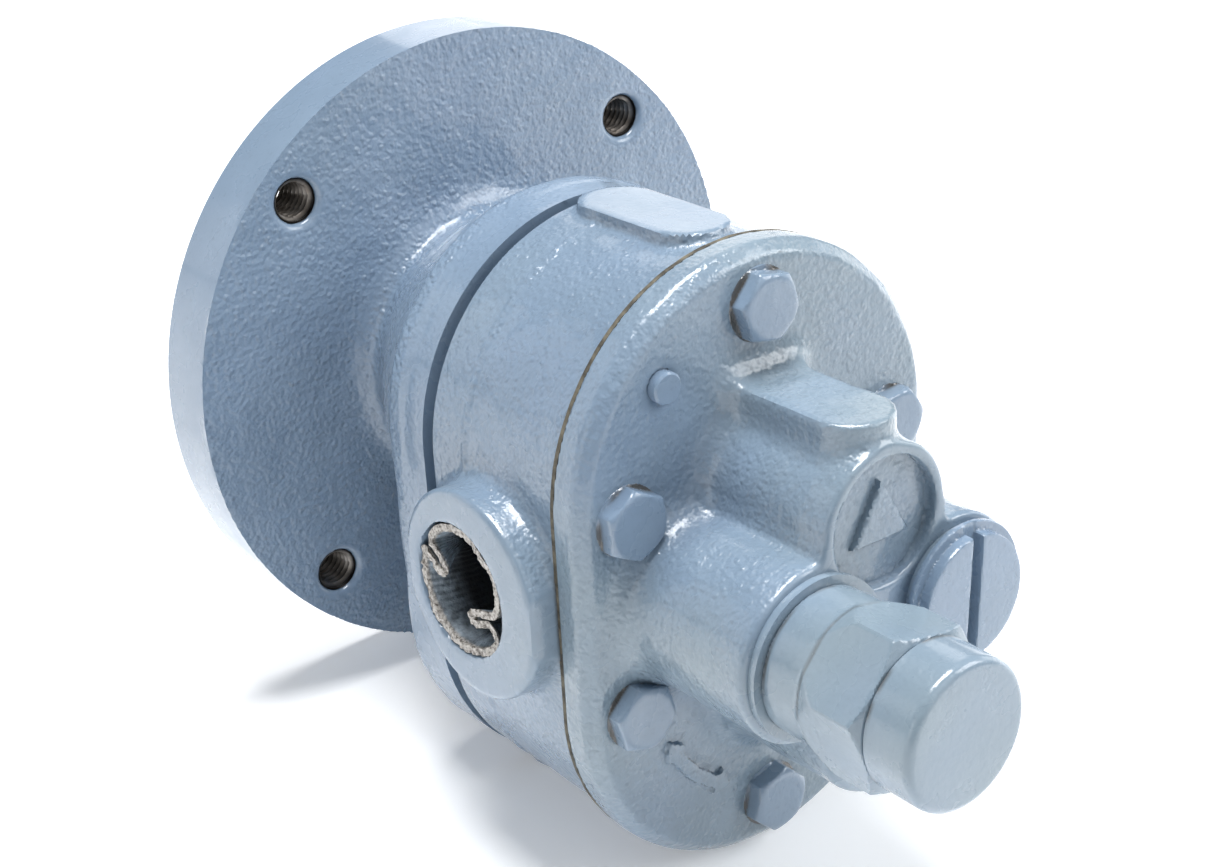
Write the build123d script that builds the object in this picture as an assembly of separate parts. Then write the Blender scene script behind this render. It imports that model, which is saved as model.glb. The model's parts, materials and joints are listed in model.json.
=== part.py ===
from build123d import *
import math
import os

# Hydraulic gear pump with a round mounting flange and a relief valve in its front cover.
#
# Frame: the origin is the centre of the mounting face, on the drive shaft axis.
# +Y points out of the mounting face along the drive shaft, -Y is the front of the pump,
# +Z is up and the driven shaft lies below the drive shaft.
# A "depth" is a distance in front of the mounting face, so depth = -Y, in millimetres.

# ---- driving dimensions: gears and shafts ----
gear_teeth = 12
gear_centres = 40.64
gear_module = gear_centres / gear_teeth
gear_width = 29.8
pressure_angle = math.radians(25)
tooth_backlash = 0.3
tip_clearance = 0.25
shaft_radius = 7.9375
running_clearance = 0.05

# ---- driving dimensions: mounting adapter ----
flange_radius = 69.85
flange_thickness = 15.0
flange_bolt_circle = 120.65
flange_hole_radius = 4.8
flange_hole_chamfer = 0.8
neck_rear_radius = 29.5
neck_front_radius = 43.0
neck_fillet = 3.5
slab_start = 43.3
slab_end = 56.0
slab_radius = 43.3
bearing_bore_radius = 17.4625
bearing_start = 2.4
bearing_width = 8.73
ring_groove_width = 1.3
ring_groove_radius = 18.7
seal_bore_radius = 15.0
seal_start = 40.0
seal_width = 7.0
seal_case_wall = 1.2
seal_lip_radial = 2.2
seal_lip_flange = 1.4
seal_lip_length = 4.6
seal_edge_depth = 3.4
seal_lip_thickness = 0.9
garter_wire_radius = 0.55
garter_offset = 2.8
shaft_hole_radius = 8.8

# ---- driving dimensions: pump body ----
gasket_thickness = 0.4
spigot_start = slab_end + gasket_thickness
spigot_radius = 38.0
case_start = 59.2
case_end = 100.0
case_radius = 43.5
case_edge = 1.2
cavity_start = 70.0
pad_half_width = 8.1
pad_height = 45.0
pad_end = 96.5
port_depth = 76.5
port_face = 50.9
port_boss_depth = 79.5
port_boss_radius = 21.5
port_boss_edge = 0.9
port_radius = 13.8
port_length = 15.0
port_passage_radius = 7.4

# ---- driving dimensions: front cover ----
cover_start = case_end + gasket_thickness
cover_face = 108.15
cover_radius = 44.6
cover_edge = 3.2
boss_end = 141.3
drive_boss_radius = 15.2
driven_boss_radius = 16.0
relief_boss_radius = 17.4
plug_boss_radius = 15.3
valve_offset = 18.2
emblem_recess_radius = 12.8
emblem_recess_depth = 2.6
emblem_side = 13.0
emblem_height = 2.0
boss_pad_half_width = 8.2
boss_pad_height = 19.8
boss_pad_end = 140.4
bush_outer_radius = 11.0
bush_depth = 24.0

# ---- driving dimensions: fasteners ----
bolt_circle_radius = 33.3
bolt_radius = 3.9
bolt_hole_radius = 4.2
bolt_thread_radius = 4.0
bolt_tip = 46.5
bolt_head_flats = 12.7
bolt_head_height = 4.0
bolt_head_turns = [49, 5, 33, 28, 44, 17]
dowel_radius = 3.18
dowel_circle_radius = 33.8
dowel_proud = 2.0
dowel_tip = 84.0

# ---- driving dimensions: relief valve and side plug ----
valve_passage_radius = 4.5
valve_seat = 112.0
valve_bore_radius = 9.0
thread_start = 129.0
thread_radius = 9.5
thread_clearance = 0.1
washer_thickness = 1.6
relief_washer_radius = 16.0
bonnet_radius = 14.29
bonnet_cone_start = 151.4
bonnet_cone_end = 157.7
bonnet_hex_end = 167.7
bonnet_bore_radius = 7.5
bonnet_wall_start = 158.0
bonnet_wall_end = 163.4
bonnet_spigot_radius = 10.6
bonnet_spigot_end = 171.6
nut_recess_radius = 8.2
cap_end = 178.4
cap_edge = 1.3
cap_wall = 2.8
cap_cavity_radius = 9.4
piston_length = 11.0
piston_wall = 2.3
piston_gap = 0.4
piston_lift = 3.5
spring_mean_radius = 5.5
spring_wire_radius = 0.75
spring_turns = 8
spring_seat_start = 146.0
spring_seat_thickness = 4.0
screw_radius = 3.9
screw_tip_radius = 3.0
screw_tip_length = 2.0
screw_end = 173.6
screw_slot_width = 1.4
screw_slot_depth = 1.8
jam_nut_flats = 12.7
jam_nut_thickness = 4.6
plug_washer_radius = 13.3
plug_flange_radius = 14.7
plug_flange_end = 144.1
plug_head_radius = 12.8
plug_head_end = 146.5
plug_slot_width = 2.7
plug_slot_depth = 2.6
plug_slot_turn = -3.4

# ---- driving dimensions: shaft ends and keys ----
shaft_overhang = 38.0
shaft_end_chamfer = 0.8
drive_shaft_front = 126.0
driven_shaft_rear = 48.5
driven_shaft_front = 126.0
keyway_width = 4.76
keyway_length = 15.5
keyway_setback = 3.0
shaft_ring_groove_radius = 7.35
shaft_ring_groove_start = 0.6
shaft_ring_start = 1.15
shaft_ring_outer_radius = 9.6
shaft_ring_gap = 5.0
gear_key_size = 3.2
gear_key_length = 25.0
key_slack = 0.03

# ---- driving dimensions: outboard bearing ----
ball_radius = 2.78
ball_count = 9
race_depth = 1.3
shield_thickness = 0.5

driven_z = -gear_centres
valve_z = -gear_centres / 2
cavity_depth = case_end - cavity_start
gear_tip_radius = gear_module * (gear_teeth / 2 + 1)
cavity_radius = gear_tip_radius + tip_clearance


def front_plane(depth, x=0.0, z=0.0):
    """Plane facing the front at a depth; its local axes are X and Z."""
    return Plane(origin=(x, -depth, z), x_dir=(1, 0, 0), z_dir=(0, -1, 0))


def disc(radius, start, end, x=0.0, z=0.0):
    """Cylinder between two depths."""
    return extrude(front_plane(start, x, z) * Circle(radius), end - start)


def ring(outer, inner, start, end, x=0.0, z=0.0):
    """Tube between two depths."""
    return disc(outer, start, end, x, z) - disc(inner, start - 1, end + 1, x, z)


def stadium(radius, start, end):
    """Solid with round ends about both shafts, between two depths."""
    outline = Pos(0, driven_z / 2) * Rot(0, 0, 90) * SlotCenterToCenter(gear_centres, 2 * radius)
    return extrude(front_plane(start) * outline, end - start)


def turned(profile, x=0.0, z=0.0):
    """Solid of revolution about a line along Y, from a list of (radius, depth) points."""
    points = [(x + radius, -depth, z) for radius, depth in profile]
    face = make_face(Polyline(*points, close=True))
    return revolve(face, Axis((x, 0, z), (0, 1, 0)), 360)


def hexagon(flats, start, end, x=0.0, z=0.0, turn=0.0):
    """Hexagonal prism between two depths, with a corner at the angle turn from +X."""
    outline = Rot(0, 0, turn) * RegularPolygon(flats / math.sqrt(3), 6)
    return extrude(front_plane(start, x, z) * outline, end - start)


def block(x_range, depth_range, z_range):
    """Rectangular solid between the given limits."""
    size = [high - low for low, high in (x_range, depth_range, z_range)]
    middle = [(low + high) / 2 for low, high in (x_range, depth_range, z_range)]
    return Pos(middle[0], -middle[1], middle[2]) * Box(*size)


def shaft_centres():
    return [(0.0, 0.0), (0.0, driven_z)]


def bolt_centres():
    """Six cover bolts: three round the drive shaft and three round the driven shaft."""
    reach = bolt_circle_radius
    upper = [(0.0, reach), (reach, 0.0), (-reach, 0.0)]
    lower = [(reach, driven_z), (-reach, driven_z), (0.0, driven_z - reach)]
    return upper + lower


def dowel_centres():
    reach = dowel_circle_radius * math.sqrt(0.5)
    return [(-reach, reach), (reach, driven_z - reach)]


def holes(centres, radius, start, end):
    return [disc(radius, start, end, x, z) for x, z in centres]


# ---- castings ----

def mount_adapter():
    """Round flange, cone-shaped neck and the slab that the pump body bolts to."""
    neck_start = flange_thickness + neck_fillet
    body = disc(flange_radius, 0, flange_thickness)
    body += turned([(0, flange_thickness - 1), (neck_rear_radius + neck_fillet, flange_thickness - 1),
                    (neck_rear_radius + neck_fillet, flange_thickness),
                    (neck_rear_radius + 0.3 * neck_fillet, flange_thickness + 0.3 * neck_fillet),
                    (neck_rear_radius, neck_start), (neck_front_radius, slab_start + 1),
                    (0, slab_start + 1)])
    body += stadium(slab_radius, slab_start, slab_end)
    body -= disc(bearing_bore_radius, -1, bearing_start + bearing_width)
    body -= disc(ring_groove_radius, bearing_start - ring_groove_width, bearing_start)
    body -= disc(seal_bore_radius, bearing_start, seal_start + seal_width)
    body -= disc(shaft_hole_radius, seal_start, slab_end + 1)
    body -= disc(shaft_radius + running_clearance + 0.3, driven_shaft_rear - 1, slab_end + 1, 0, driven_z)
    body -= holes(bolt_centres(), bolt_thread_radius, slab_start - 1, slab_end + 1)
    for index in range(4):
        angle = math.radians(45 + 90 * index)
        x = flange_bolt_circle / 2 * math.cos(angle)
        z = flange_bolt_circle / 2 * math.sin(angle)
        wide = flange_hole_radius + flange_hole_chamfer
        body -= disc(flange_hole_radius, -1, flange_thickness + 1, x, z)
        body -= turned([(0, flange_thickness + 0.01), (wide, flange_thickness + 0.01),
                        (flange_hole_radius, flange_thickness - flange_hole_chamfer),
                        (0, flange_thickness - flange_hole_chamfer)], x, z)
    return body


def port_boss(side):
    """Round boss on one side of the pump body, with a flat turned face; the case's front cuts it flat."""
    face = Plane(origin=(0, -port_boss_depth, valve_z), x_dir=(0, 1, 0), z_dir=(side, 0, 0))
    boss = extrude(face * Circle(port_boss_radius), port_face)
    rim = boss.edges().filter_by(GeomType.CIRCLE).sort_by(Axis((0, 0, 0), (side, 0, 0)))[-1]
    boss = chamfer(rim, port_boss_edge)
    return boss - block((-port_face - 1, port_face + 1), (case_end, case_end + 10), (-2 * case_radius, 0))


def port_hole(side):
    """Threaded port and the narrower passage that leads into the gear cavity."""
    mouth = Plane(origin=(side * port_face, -port_depth, valve_z), x_dir=(0, 1, 0), z_dir=(-side, 0, 0))
    hole = extrude(mouth * Circle(port_radius), port_length)
    hole += extrude(mouth * Circle(port_passage_radius), port_face - 6)
    return hole


def pump_body():
    """Gear case with a rear wall, a narrower rear spigot, a top pad and two side ports."""
    case = stadium(case_radius, case_start, case_end)
    rims = case.edges().group_by(Axis.Y)[-1]
    body = chamfer(rims, case_edge)
    body += stadium(spigot_radius, spigot_start, case_start + 1)
    body += top_pad()
    body += port_boss(1)
    body += port_boss(-1)
    for x, z in shaft_centres():
        body -= disc(cavity_radius, cavity_start, case_end + 1, x, z)
        body -= disc(bush_outer_radius, spigot_start - 1, cavity_start + 1, x, z)
    body -= port_hole(1)
    body -= port_hole(-1)
    body -= side_chambers()
    body -= holes(bolt_centres(), bolt_hole_radius, spigot_start - 1, case_end + 1)
    body -= holes(dowel_centres(), dowel_radius + 0.02, dowel_tip, case_end + 1)
    return body


def side_chambers():
    """Inlet and outlet chambers each side of the gear mesh, opened right through it."""
    outline = SlotCenterToCenter(2 * valve_offset, 2 * port_passage_radius)
    return extrude(front_plane(cavity_start, 0, valve_z) * outline, cavity_depth + 1)


def top_pad():
    """Flat obround pad on top of the gear case."""
    length = pad_end - case_start
    middle = (pad_end + case_start) / 2
    outline = Rot(0, 0, 90) * SlotOverall(length, 2 * pad_half_width)
    root = case_radius - 3
    return extrude(Plane(origin=(0, -middle, root)) * outline, pad_height - root)


def front_cover():
    """Cover plate with four bosses joined by webs, all ending in one plane."""
    plate = stadium(cover_radius, cover_start, cover_face)
    rim = plate.edges().group_by(Axis.Y)[0]
    cover = fillet(rim, cover_edge)
    root = cover_face - 1
    cover += disc(drive_boss_radius, root, boss_end)
    cover += disc(driven_boss_radius, root, boss_end, 0, driven_z)
    cover += disc(relief_boss_radius, root, boss_end, -valve_offset, valve_z)
    cover += disc(plug_boss_radius, root, boss_end, valve_offset, valve_z)
    cover += block((-drive_boss_radius, drive_boss_radius), (root, boss_end), (driven_z, 0))
    cover += boss_pad()
    cover -= disc(emblem_recess_radius, boss_end - emblem_recess_depth, boss_end + 1)
    cover += emblem()
    for x, z in shaft_centres():
        cover -= disc(bush_outer_radius, cover_start - 1, cover_start + bush_depth, x, z)
        cover -= disc(shaft_radius + 0.5, cover_start, cover_start + bush_depth + 3, x, z)
    for side in (1, -1):
        x = side * valve_offset
        cover -= disc(valve_passage_radius, cover_start - 1, boss_end, x, valve_z)
        cover -= disc(valve_bore_radius, valve_seat, boss_end, x, valve_z)
        cover -= disc(thread_radius, thread_start - 1.5, boss_end + 1, x, valve_z)
    cover -= holes(bolt_centres(), bolt_hole_radius, cover_start - 1, cover_face + 1)
    cover -= holes(dowel_centres(), dowel_radius + 0.02, cover_start - 1, cover_face + 1)
    return cover


def boss_pad():
    """Flat-topped pad that runs along the upper boss and ends in a half round."""
    straight = boss_pad_end - boss_pad_half_width
    low = drive_boss_radius - 5
    height = boss_pad_height - low
    start = cover_face - 1
    pad = block((-boss_pad_half_width, boss_pad_half_width), (start, straight), (low, boss_pad_height))
    nose = Plane(origin=(0, -straight, low)) * Circle(boss_pad_half_width)
    return pad + extrude(nose, height)


def emblem():
    """Plain raised triangle in the round recess, a generic mark."""
    start = boss_end - emblem_recess_depth - 0.5
    outline = RegularPolygon(emblem_side / math.sqrt(3), 3, rotation=90)
    return extrude(front_plane(start) * outline, emblem_height + 0.5)


# ---- gaskets, bolts and dowels ----

def cover_gasket():
    sheet = stadium(case_radius - 0.1, case_end, cover_start)
    sheet -= stadium(cavity_radius + 1, case_end - 1, cover_start + 1)
    sheet -= holes(bolt_centres(), bolt_hole_radius, case_end - 1, cover_start + 1)
    sheet -= holes(dowel_centres(), dowel_radius + 0.1, case_end - 1, cover_start + 1)
    return sheet


def adapter_gasket():
    sheet = stadium(spigot_radius, slab_end, spigot_start)
    for x, z in shaft_centres():
        sheet -= disc(bush_outer_radius + 1, slab_end - 1, spigot_start + 1, x, z)
    sheet -= holes(bolt_centres(), bolt_hole_radius, slab_end - 1, spigot_start + 1)
    return sheet


def chamfered_hexagon(flats, start, end, x, z, turn):
    """Hexagonal head whose front corners are turned off to a cone."""
    corner = flats / math.sqrt(3)
    inner = 0.46 * flats
    drop = (corner - inner) * math.tan(math.radians(30))
    cone = turned([(0, start - 0.1), (corner + 0.1, start - 0.1), (corner + 0.1, end - drop),
                   (inner, end), (0, end)], x, z)
    return hexagon(flats, start, end, x, z, turn) & cone


def cover_bolt(x, z, turn):
    head_start = cover_face
    head = chamfered_hexagon(bolt_head_flats, head_start, head_start + bolt_head_height, x, z, turn)
    return head + disc(bolt_radius, bolt_tip, head_start + 1, x, z)


def dowel_pin(x, z):
    """Plain pin with a chamfer at its front end."""
    end = cover_face + dowel_proud
    edge = 0.4
    return turned([(0, dowel_tip + 0.3), (dowel_radius, dowel_tip + 0.3), (dowel_radius, end - edge),
                   (dowel_radius - edge, end), (0, end)], x, z)


# ---- gears, shafts and their bushes ----

def involute(angle):
    return math.tan(angle) - angle


def tooth_flank(base_radius, half_pitch_angle, steps=7):
    """Half angles of one tooth at increasing radii, from the base circle to the tip."""
    flank = []
    for step in range(steps):
        share = step / (steps - 1)
        radius = base_radius + share * (gear_tip_radius - base_radius)
        slope = math.acos(min(1.0, base_radius / radius))
        flank.append((radius, half_pitch_angle - involute(slope)))
    return flank


def gear_outline(turn):
    """Closed outline of the toothed wheel, drawn with straight chords inside the true flanks."""
    pitch_radius = gear_module * gear_teeth / 2
    base_radius = pitch_radius * math.cos(pressure_angle)
    root_radius = pitch_radius - 1.25 * gear_module
    slack = tooth_backlash / (2 * pitch_radius)
    half_pitch_angle = math.pi / (2 * gear_teeth) - slack / 2 + involute(pressure_angle)
    flank = tooth_flank(base_radius, half_pitch_angle)
    rising = [(root_radius, -flank[0][1])] + [(radius, -angle) for radius, angle in flank]
    falling = [(radius, angle) for radius, angle in reversed(flank)] + [(root_radius, flank[0][1])]
    points = []
    for tooth in range(gear_teeth):
        middle = turn + 2 * math.pi * tooth / gear_teeth
        for radius, angle in rising + falling:
            points.append((radius * math.cos(middle + angle), radius * math.sin(middle + angle)))
    return make_face(Polyline(*points, close=True))


def gear(z, turn):
    start = (cavity_start + case_end - gear_width) / 2
    wheel = extrude(front_plane(start, 0, z) * gear_outline(turn), gear_width)
    return wheel - disc(shaft_radius, start - 1, start + gear_width + 1, 0, z)


def drive_gear():
    """Drive gear with a keyway in its bore."""
    slot = gear_key_size / 2 + key_slack
    top = gear_key_top() + key_slack
    return gear(0, 0.0) - block((-slot, slot), (cavity_start - 1, case_end + 1), (0, top))


def driven_gear():
    return gear(driven_z, math.pi / gear_teeth)


def gear_key_top():
    return shaft_radius + gear_key_size / 2


def gear_key_span():
    middle = (cavity_start + case_end) / 2
    return (middle - gear_key_length / 2, middle + gear_key_length / 2)


def keyway_span():
    start = -shaft_overhang + keyway_setback
    return (start, start + keyway_length)


def shaft(rear, front, z):
    edge = shaft_end_chamfer
    small = shaft_radius - edge
    return turned([(0, rear), (small, rear), (shaft_radius, rear + edge), (shaft_radius, front - edge),
                   (small, front), (0, front)], 0, z)


def drive_shaft():
    """Shaft with a keyway for the drive gear, one for the coupling and a retaining ring groove."""
    body = shaft(-shaft_overhang, drive_shaft_front, 0)
    half = gear_key_size / 2
    body -= block((-half, half), gear_key_span(), (shaft_radius - half, shaft_radius + 1))
    half = keyway_width / 2
    body -= block((-half, half), keyway_span(), (shaft_radius - half, shaft_radius + 1))
    body -= ring(shaft_radius + 1, shaft_ring_groove_radius, shaft_ring_groove_start, bearing_start)
    return body


def driven_shaft():
    return shaft(driven_shaft_rear, driven_shaft_front, driven_z)


def drive_gear_key():
    half = gear_key_size / 2 - 0.01
    return block((-half, half), gear_key_span(), (shaft_radius - gear_key_size / 2, gear_key_top()))


def shaft_retaining_ring():
    """Split ring that keeps the bearing's inner ring on the shaft."""
    start = shaft_ring_start
    body = ring(shaft_ring_outer_radius, shaft_ring_groove_radius + 0.02, start, bearing_start)
    half = shaft_ring_gap / 2
    return body - block((-half, half), (start - 1, bearing_start + 1), (0, shaft_ring_outer_radius + 1))


def bush(start, end, z):
    return ring(bush_outer_radius, shaft_radius + running_clearance, start, end, 0, z)


def front_bush(z):
    return bush(cover_start + 0.2, cover_start + bush_depth, z)


def rear_bush(z):
    return bush(spigot_start, cavity_start - 0.2, z)


# ---- shaft seal and outboard bearing ----

def seal_case():
    """Pressed steel cup of the shaft seal, open towards the gears."""
    wall = seal_case_wall
    start = seal_start
    end = seal_start + seal_width
    inner = shaft_radius + seal_lip_radial
    return turned([(inner, start), (seal_bore_radius, start), (seal_bore_radius, end),
                   (seal_bore_radius - wall, end), (seal_bore_radius - wall, start + wall),
                   (inner, start + wall)])


def seal_lip():
    """Rubber lip held by the steel cup, with a running edge on the shaft."""
    start = seal_start + seal_case_wall
    back = start + seal_lip_flange
    outer = seal_bore_radius - seal_case_wall
    root = shaft_radius + seal_lip_radial
    thin = shaft_radius + seal_lip_thickness
    return turned([(root, start), (outer, start), (outer, back), (root, back),
                   (thin + 1.0, start + seal_lip_length - 0.6), (thin, start + seal_lip_length),
                   (shaft_radius + running_clearance, start + seal_edge_depth),
                   (thin, back)])


def garter_spring():
    """Ring spring that lies round the seal lip."""
    start = seal_start + seal_case_wall + seal_edge_depth - 0.4
    section = Plane(origin=(shaft_radius + garter_offset, -start, 0)) * Circle(garter_wire_radius)
    return revolve(section, Axis.Y, 360)


def ball_circle():
    return (shaft_radius + bearing_bore_radius) / 2


def bearing_middle():
    return bearing_start + bearing_width / 2


def race_groove():
    section = Plane(origin=(ball_circle(), -bearing_middle(), 0)) * Circle(ball_radius + 0.04)
    return revolve(section, Axis.Y, 360)


def bearing_outer_ring():
    inner = ball_circle() + ball_radius - race_depth
    start = bearing_start
    return ring(bearing_bore_radius, inner, start, start + bearing_width) - race_groove()


def bearing_inner_ring():
    outer = ball_circle() - ball_radius + race_depth
    start = bearing_start
    return ring(outer, shaft_radius, start, start + bearing_width) - race_groove()


def bearing_balls():
    """Nine balls, each a separate solid."""
    balls = []
    for index in range(ball_count):
        angle = 2 * math.pi * index / ball_count
        x = ball_circle() * math.cos(angle)
        z = ball_circle() * math.sin(angle)
        balls.append(Pos(x, -bearing_middle(), z) * Sphere(ball_radius))
    return Compound(children=balls)


def bearing_shield():
    """Thin pressed disc that closes the bearing on the outside."""
    outer = ball_circle() + ball_radius - race_depth
    inner = ball_circle() - ball_radius + race_depth + 0.3
    return ring(outer, inner, bearing_start + 0.3, bearing_start + 0.3 + shield_thickness)


def bearing_retaining_ring():
    """Split ring in the groove outside the bearing."""
    start = bearing_start - ring_groove_width + 0.1
    end = bearing_start
    body = ring(ring_groove_radius - 0.2, bearing_bore_radius - 2.0, start, end)
    return body - block((-4.5, 4.5), (start - 1, end + 1), (-ring_groove_radius - 1, -10))


# ---- relief valve ----

def relief_piston():
    """Cup-shaped poppet whose cone closes the passage."""
    x = -valve_offset
    radius = valve_bore_radius - running_clearance
    start = valve_seat + piston_gap
    end = valve_seat + piston_length
    pocket = spring_mean_radius + spring_wire_radius + 0.4
    nose = valve_passage_radius - 0.5
    return turned([(0, start - 2.0), (nose - 1.2, start - 2.0), (nose, start), (radius - 1.0, start),
                   (radius, start + 1.0), (radius, end), (pocket, end), (pocket, start + piston_wall),
                   (0, start + piston_wall)], x, valve_z)


def spring_span():
    """Depths between which the relief spring stands at rest."""
    return (valve_seat + piston_gap + piston_wall + 0.1, spring_seat_start - 0.1)


def relief_spring():
    low, high = spring_span()
    height = high - low - 2 * spring_wire_radius
    coil = Helix(height / spring_turns, height, spring_mean_radius)
    section = Plane(origin=coil @ 0, z_dir=coil % 0) * Circle(spring_wire_radius)
    upright = sweep(section, path=coil)
    start = low + spring_wire_radius
    return Pos(-valve_offset, -start, valve_z) * Rot(90, 0, 0) * upright


def spring_seat():
    """Disc between the spring and the screw, with a pocket for the screw tip."""
    x = -valve_offset
    start = spring_seat_start
    end = start + spring_seat_thickness
    radius = bonnet_bore_radius - 0.15
    seat = disc(radius, start, end, x, valve_z)
    return seat - disc(screw_tip_radius + 0.06, end - screw_tip_length, end + 1, x, valve_z)


def adjusting_screw():
    x = -valve_offset
    tip = spring_seat_start + spring_seat_thickness - screw_tip_length + 0.3
    shoulder = spring_seat_start + spring_seat_thickness + 0.3
    edge = 0.6
    screw = turned([(0, tip), (screw_tip_radius, tip), (screw_tip_radius, shoulder),
                    (screw_radius, shoulder), (screw_radius, screw_end - edge),
                    (screw_radius - edge, screw_end), (0, screw_end)], x, valve_z)
    half = screw_slot_width / 2
    return screw - block((x - half, x + half), (screw_end - screw_slot_depth, screw_end + 1),
                         (valve_z - 6, valve_z + 6))


def jam_nut():
    x = -valve_offset
    start = bonnet_wall_end + 0.1
    nut = chamfered_hexagon(jam_nut_flats, start, start + jam_nut_thickness, x, valve_z, 12)
    return nut - disc(screw_radius + running_clearance, start - 1, start + jam_nut_thickness + 1, x, valve_z)


def relief_washer():
    return ring(relief_washer_radius, thread_radius + 0.1, boss_end, boss_end + washer_thickness,
                -valve_offset, valve_z)


def relief_bonnet():
    """Threaded spring housing: turned barrel, hexagon and a spigot for the cap."""
    x = -valve_offset
    rear = boss_end + washer_thickness
    corner = 2 * bonnet_radius / math.sqrt(3)
    male = thread_radius - thread_clearance
    hexed = hexagon(2 * bonnet_radius, bonnet_cone_start, bonnet_hex_end, x, valve_z, 49)
    envelope = turned([(0, bonnet_cone_start), (bonnet_radius, bonnet_cone_start), (corner, bonnet_cone_end),
                       (corner, bonnet_hex_end - 1.2), (bonnet_radius, bonnet_hex_end),
                       (0, bonnet_hex_end)], x, valve_z)
    body = disc(bonnet_radius, rear, bonnet_cone_start, x, valve_z) + (hexed & envelope)
    body += disc(male, thread_start + 0.5, rear + 0.1, x, valve_z)
    body += disc(bonnet_spigot_radius, bonnet_hex_end - 0.1, bonnet_spigot_end, x, valve_z)
    body -= disc(bonnet_bore_radius, thread_start - 1, bonnet_wall_start, x, valve_z)
    body -= disc(screw_radius + running_clearance, bonnet_wall_start - 1, bonnet_spigot_end, x, valve_z)
    body -= disc(nut_recess_radius, bonnet_wall_end, bonnet_spigot_end + 1, x, valve_z)
    return body


def relief_cap():
    """Closed cap that screws over the bonnet spigot."""
    x = -valve_offset
    start = bonnet_hex_end + 0.05
    outer = bonnet_radius
    thread = bonnet_spigot_radius + 0.05
    step = bonnet_spigot_end + 0.3
    roof = cap_end - cap_wall
    return turned([(thread, start), (outer, start), (outer, cap_end - cap_edge), (outer - cap_edge, cap_end),
                   (0, cap_end), (0, roof), (cap_cavity_radius, roof), (cap_cavity_radius, step),
                   (thread, step)], x, valve_z)


# ---- side plug ----

def side_plug_washer():
    return ring(plug_washer_radius, thread_radius + 0.1, boss_end, boss_end + washer_thickness,
                valve_offset, valve_z)


def side_plug():
    """Threaded plug with a wide screwdriver slot, in place of a second relief valve."""
    x = valve_offset
    under = boss_end + washer_thickness
    edge = 0.5
    plug = turned([(0, thread_start + 0.5), (thread_radius - thread_clearance, thread_start + 0.5),
                   (thread_radius - thread_clearance, under), (plug_flange_radius, under),
                   (plug_flange_radius, plug_flange_end), (plug_head_radius, plug_flange_end),
                   (plug_head_radius, plug_head_end - edge), (plug_head_radius - edge, plug_head_end),
                   (0, plug_head_end)], x, valve_z)
    slot = Rot(0, 0, plug_slot_turn) * Rectangle(plug_slot_width, 2 * plug_head_radius + 2)
    bottom = front_plane(plug_head_end - plug_slot_depth, x, valve_z)
    return plug - extrude(bottom * slot, plug_slot_depth + 1)


def group(solids):
    return Compound(children=list(solids))


def all_parts():
    bolts = [cover_bolt(x, z, turn) for (x, z), turn in zip(bolt_centres(), bolt_head_turns)]
    return {
        "mount_adapter": mount_adapter(),
        "pump_body": pump_body(),
        "front_cover": front_cover(),
        "adapter_gasket": adapter_gasket(),
        "cover_gasket": cover_gasket(),
        "cover_bolts": group(bolts),
        "dowel_pins": group(dowel_pin(x, z) for x, z in dowel_centres()),
        "drive_shaft": drive_shaft(),
        "drive_gear": drive_gear(),
        "drive_gear_key": drive_gear_key(),
        "shaft_retaining_ring": shaft_retaining_ring(),
        "driven_shaft": driven_shaft(),
        "driven_gear": driven_gear(),
        "drive_bush_front": front_bush(0),
        "drive_bush_rear": rear_bush(0),
        "driven_bush_front": front_bush(driven_z),
        "driven_bush_rear": rear_bush(driven_z),
        "seal_case": seal_case(),
        "seal_lip": seal_lip(),
        "garter_spring": garter_spring(),
        "bearing_outer_ring": bearing_outer_ring(),
        "bearing_inner_ring": bearing_inner_ring(),
        "bearing_balls": bearing_balls(),
        "bearing_shield": bearing_shield(),
        "bearing_retaining_ring": bearing_retaining_ring(),
        "relief_piston": relief_piston(),
        "relief_spring": relief_spring(),
        "spring_seat": spring_seat(),
        "adjusting_screw": adjusting_screw(),
        "jam_nut": jam_nut(),
        "relief_washer": relief_washer(),
        "relief_bonnet": relief_bonnet(),
        "relief_cap": relief_cap(),
        "side_plug_washer": side_plug_washer(),
        "side_plug": side_plug(),
    }


os.makedirs("parts", exist_ok=True)
for name, shape in all_parts().items():
    export_step(shape, f"parts/{name}.step")
    print(name, round(shape.volume, 1))
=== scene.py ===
import json
import math
import bpy
import numpy as np
from mathutils import Matrix, Vector


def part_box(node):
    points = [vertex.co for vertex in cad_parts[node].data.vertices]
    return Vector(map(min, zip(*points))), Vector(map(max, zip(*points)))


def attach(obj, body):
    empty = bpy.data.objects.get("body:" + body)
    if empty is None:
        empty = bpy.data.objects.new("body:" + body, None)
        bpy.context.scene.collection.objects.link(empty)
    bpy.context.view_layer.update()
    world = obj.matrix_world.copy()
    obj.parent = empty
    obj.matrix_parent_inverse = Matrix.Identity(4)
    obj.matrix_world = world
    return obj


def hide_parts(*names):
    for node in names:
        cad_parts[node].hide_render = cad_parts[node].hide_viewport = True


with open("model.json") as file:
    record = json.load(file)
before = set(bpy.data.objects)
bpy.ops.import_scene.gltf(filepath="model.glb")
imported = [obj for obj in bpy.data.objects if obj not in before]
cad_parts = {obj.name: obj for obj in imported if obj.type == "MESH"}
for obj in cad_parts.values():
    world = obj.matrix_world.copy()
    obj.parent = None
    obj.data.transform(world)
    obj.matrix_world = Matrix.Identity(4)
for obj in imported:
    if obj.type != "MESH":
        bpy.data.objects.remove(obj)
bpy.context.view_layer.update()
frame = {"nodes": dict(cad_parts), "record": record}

mm = 0.001
print("stage: frame loaded")


# places read from the frame, in millimetres; depth is the distance in front of the mounting face

def boxOf(node):
    low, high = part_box(node)
    return np.array(low) / mm, np.array(high) / mm


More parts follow.
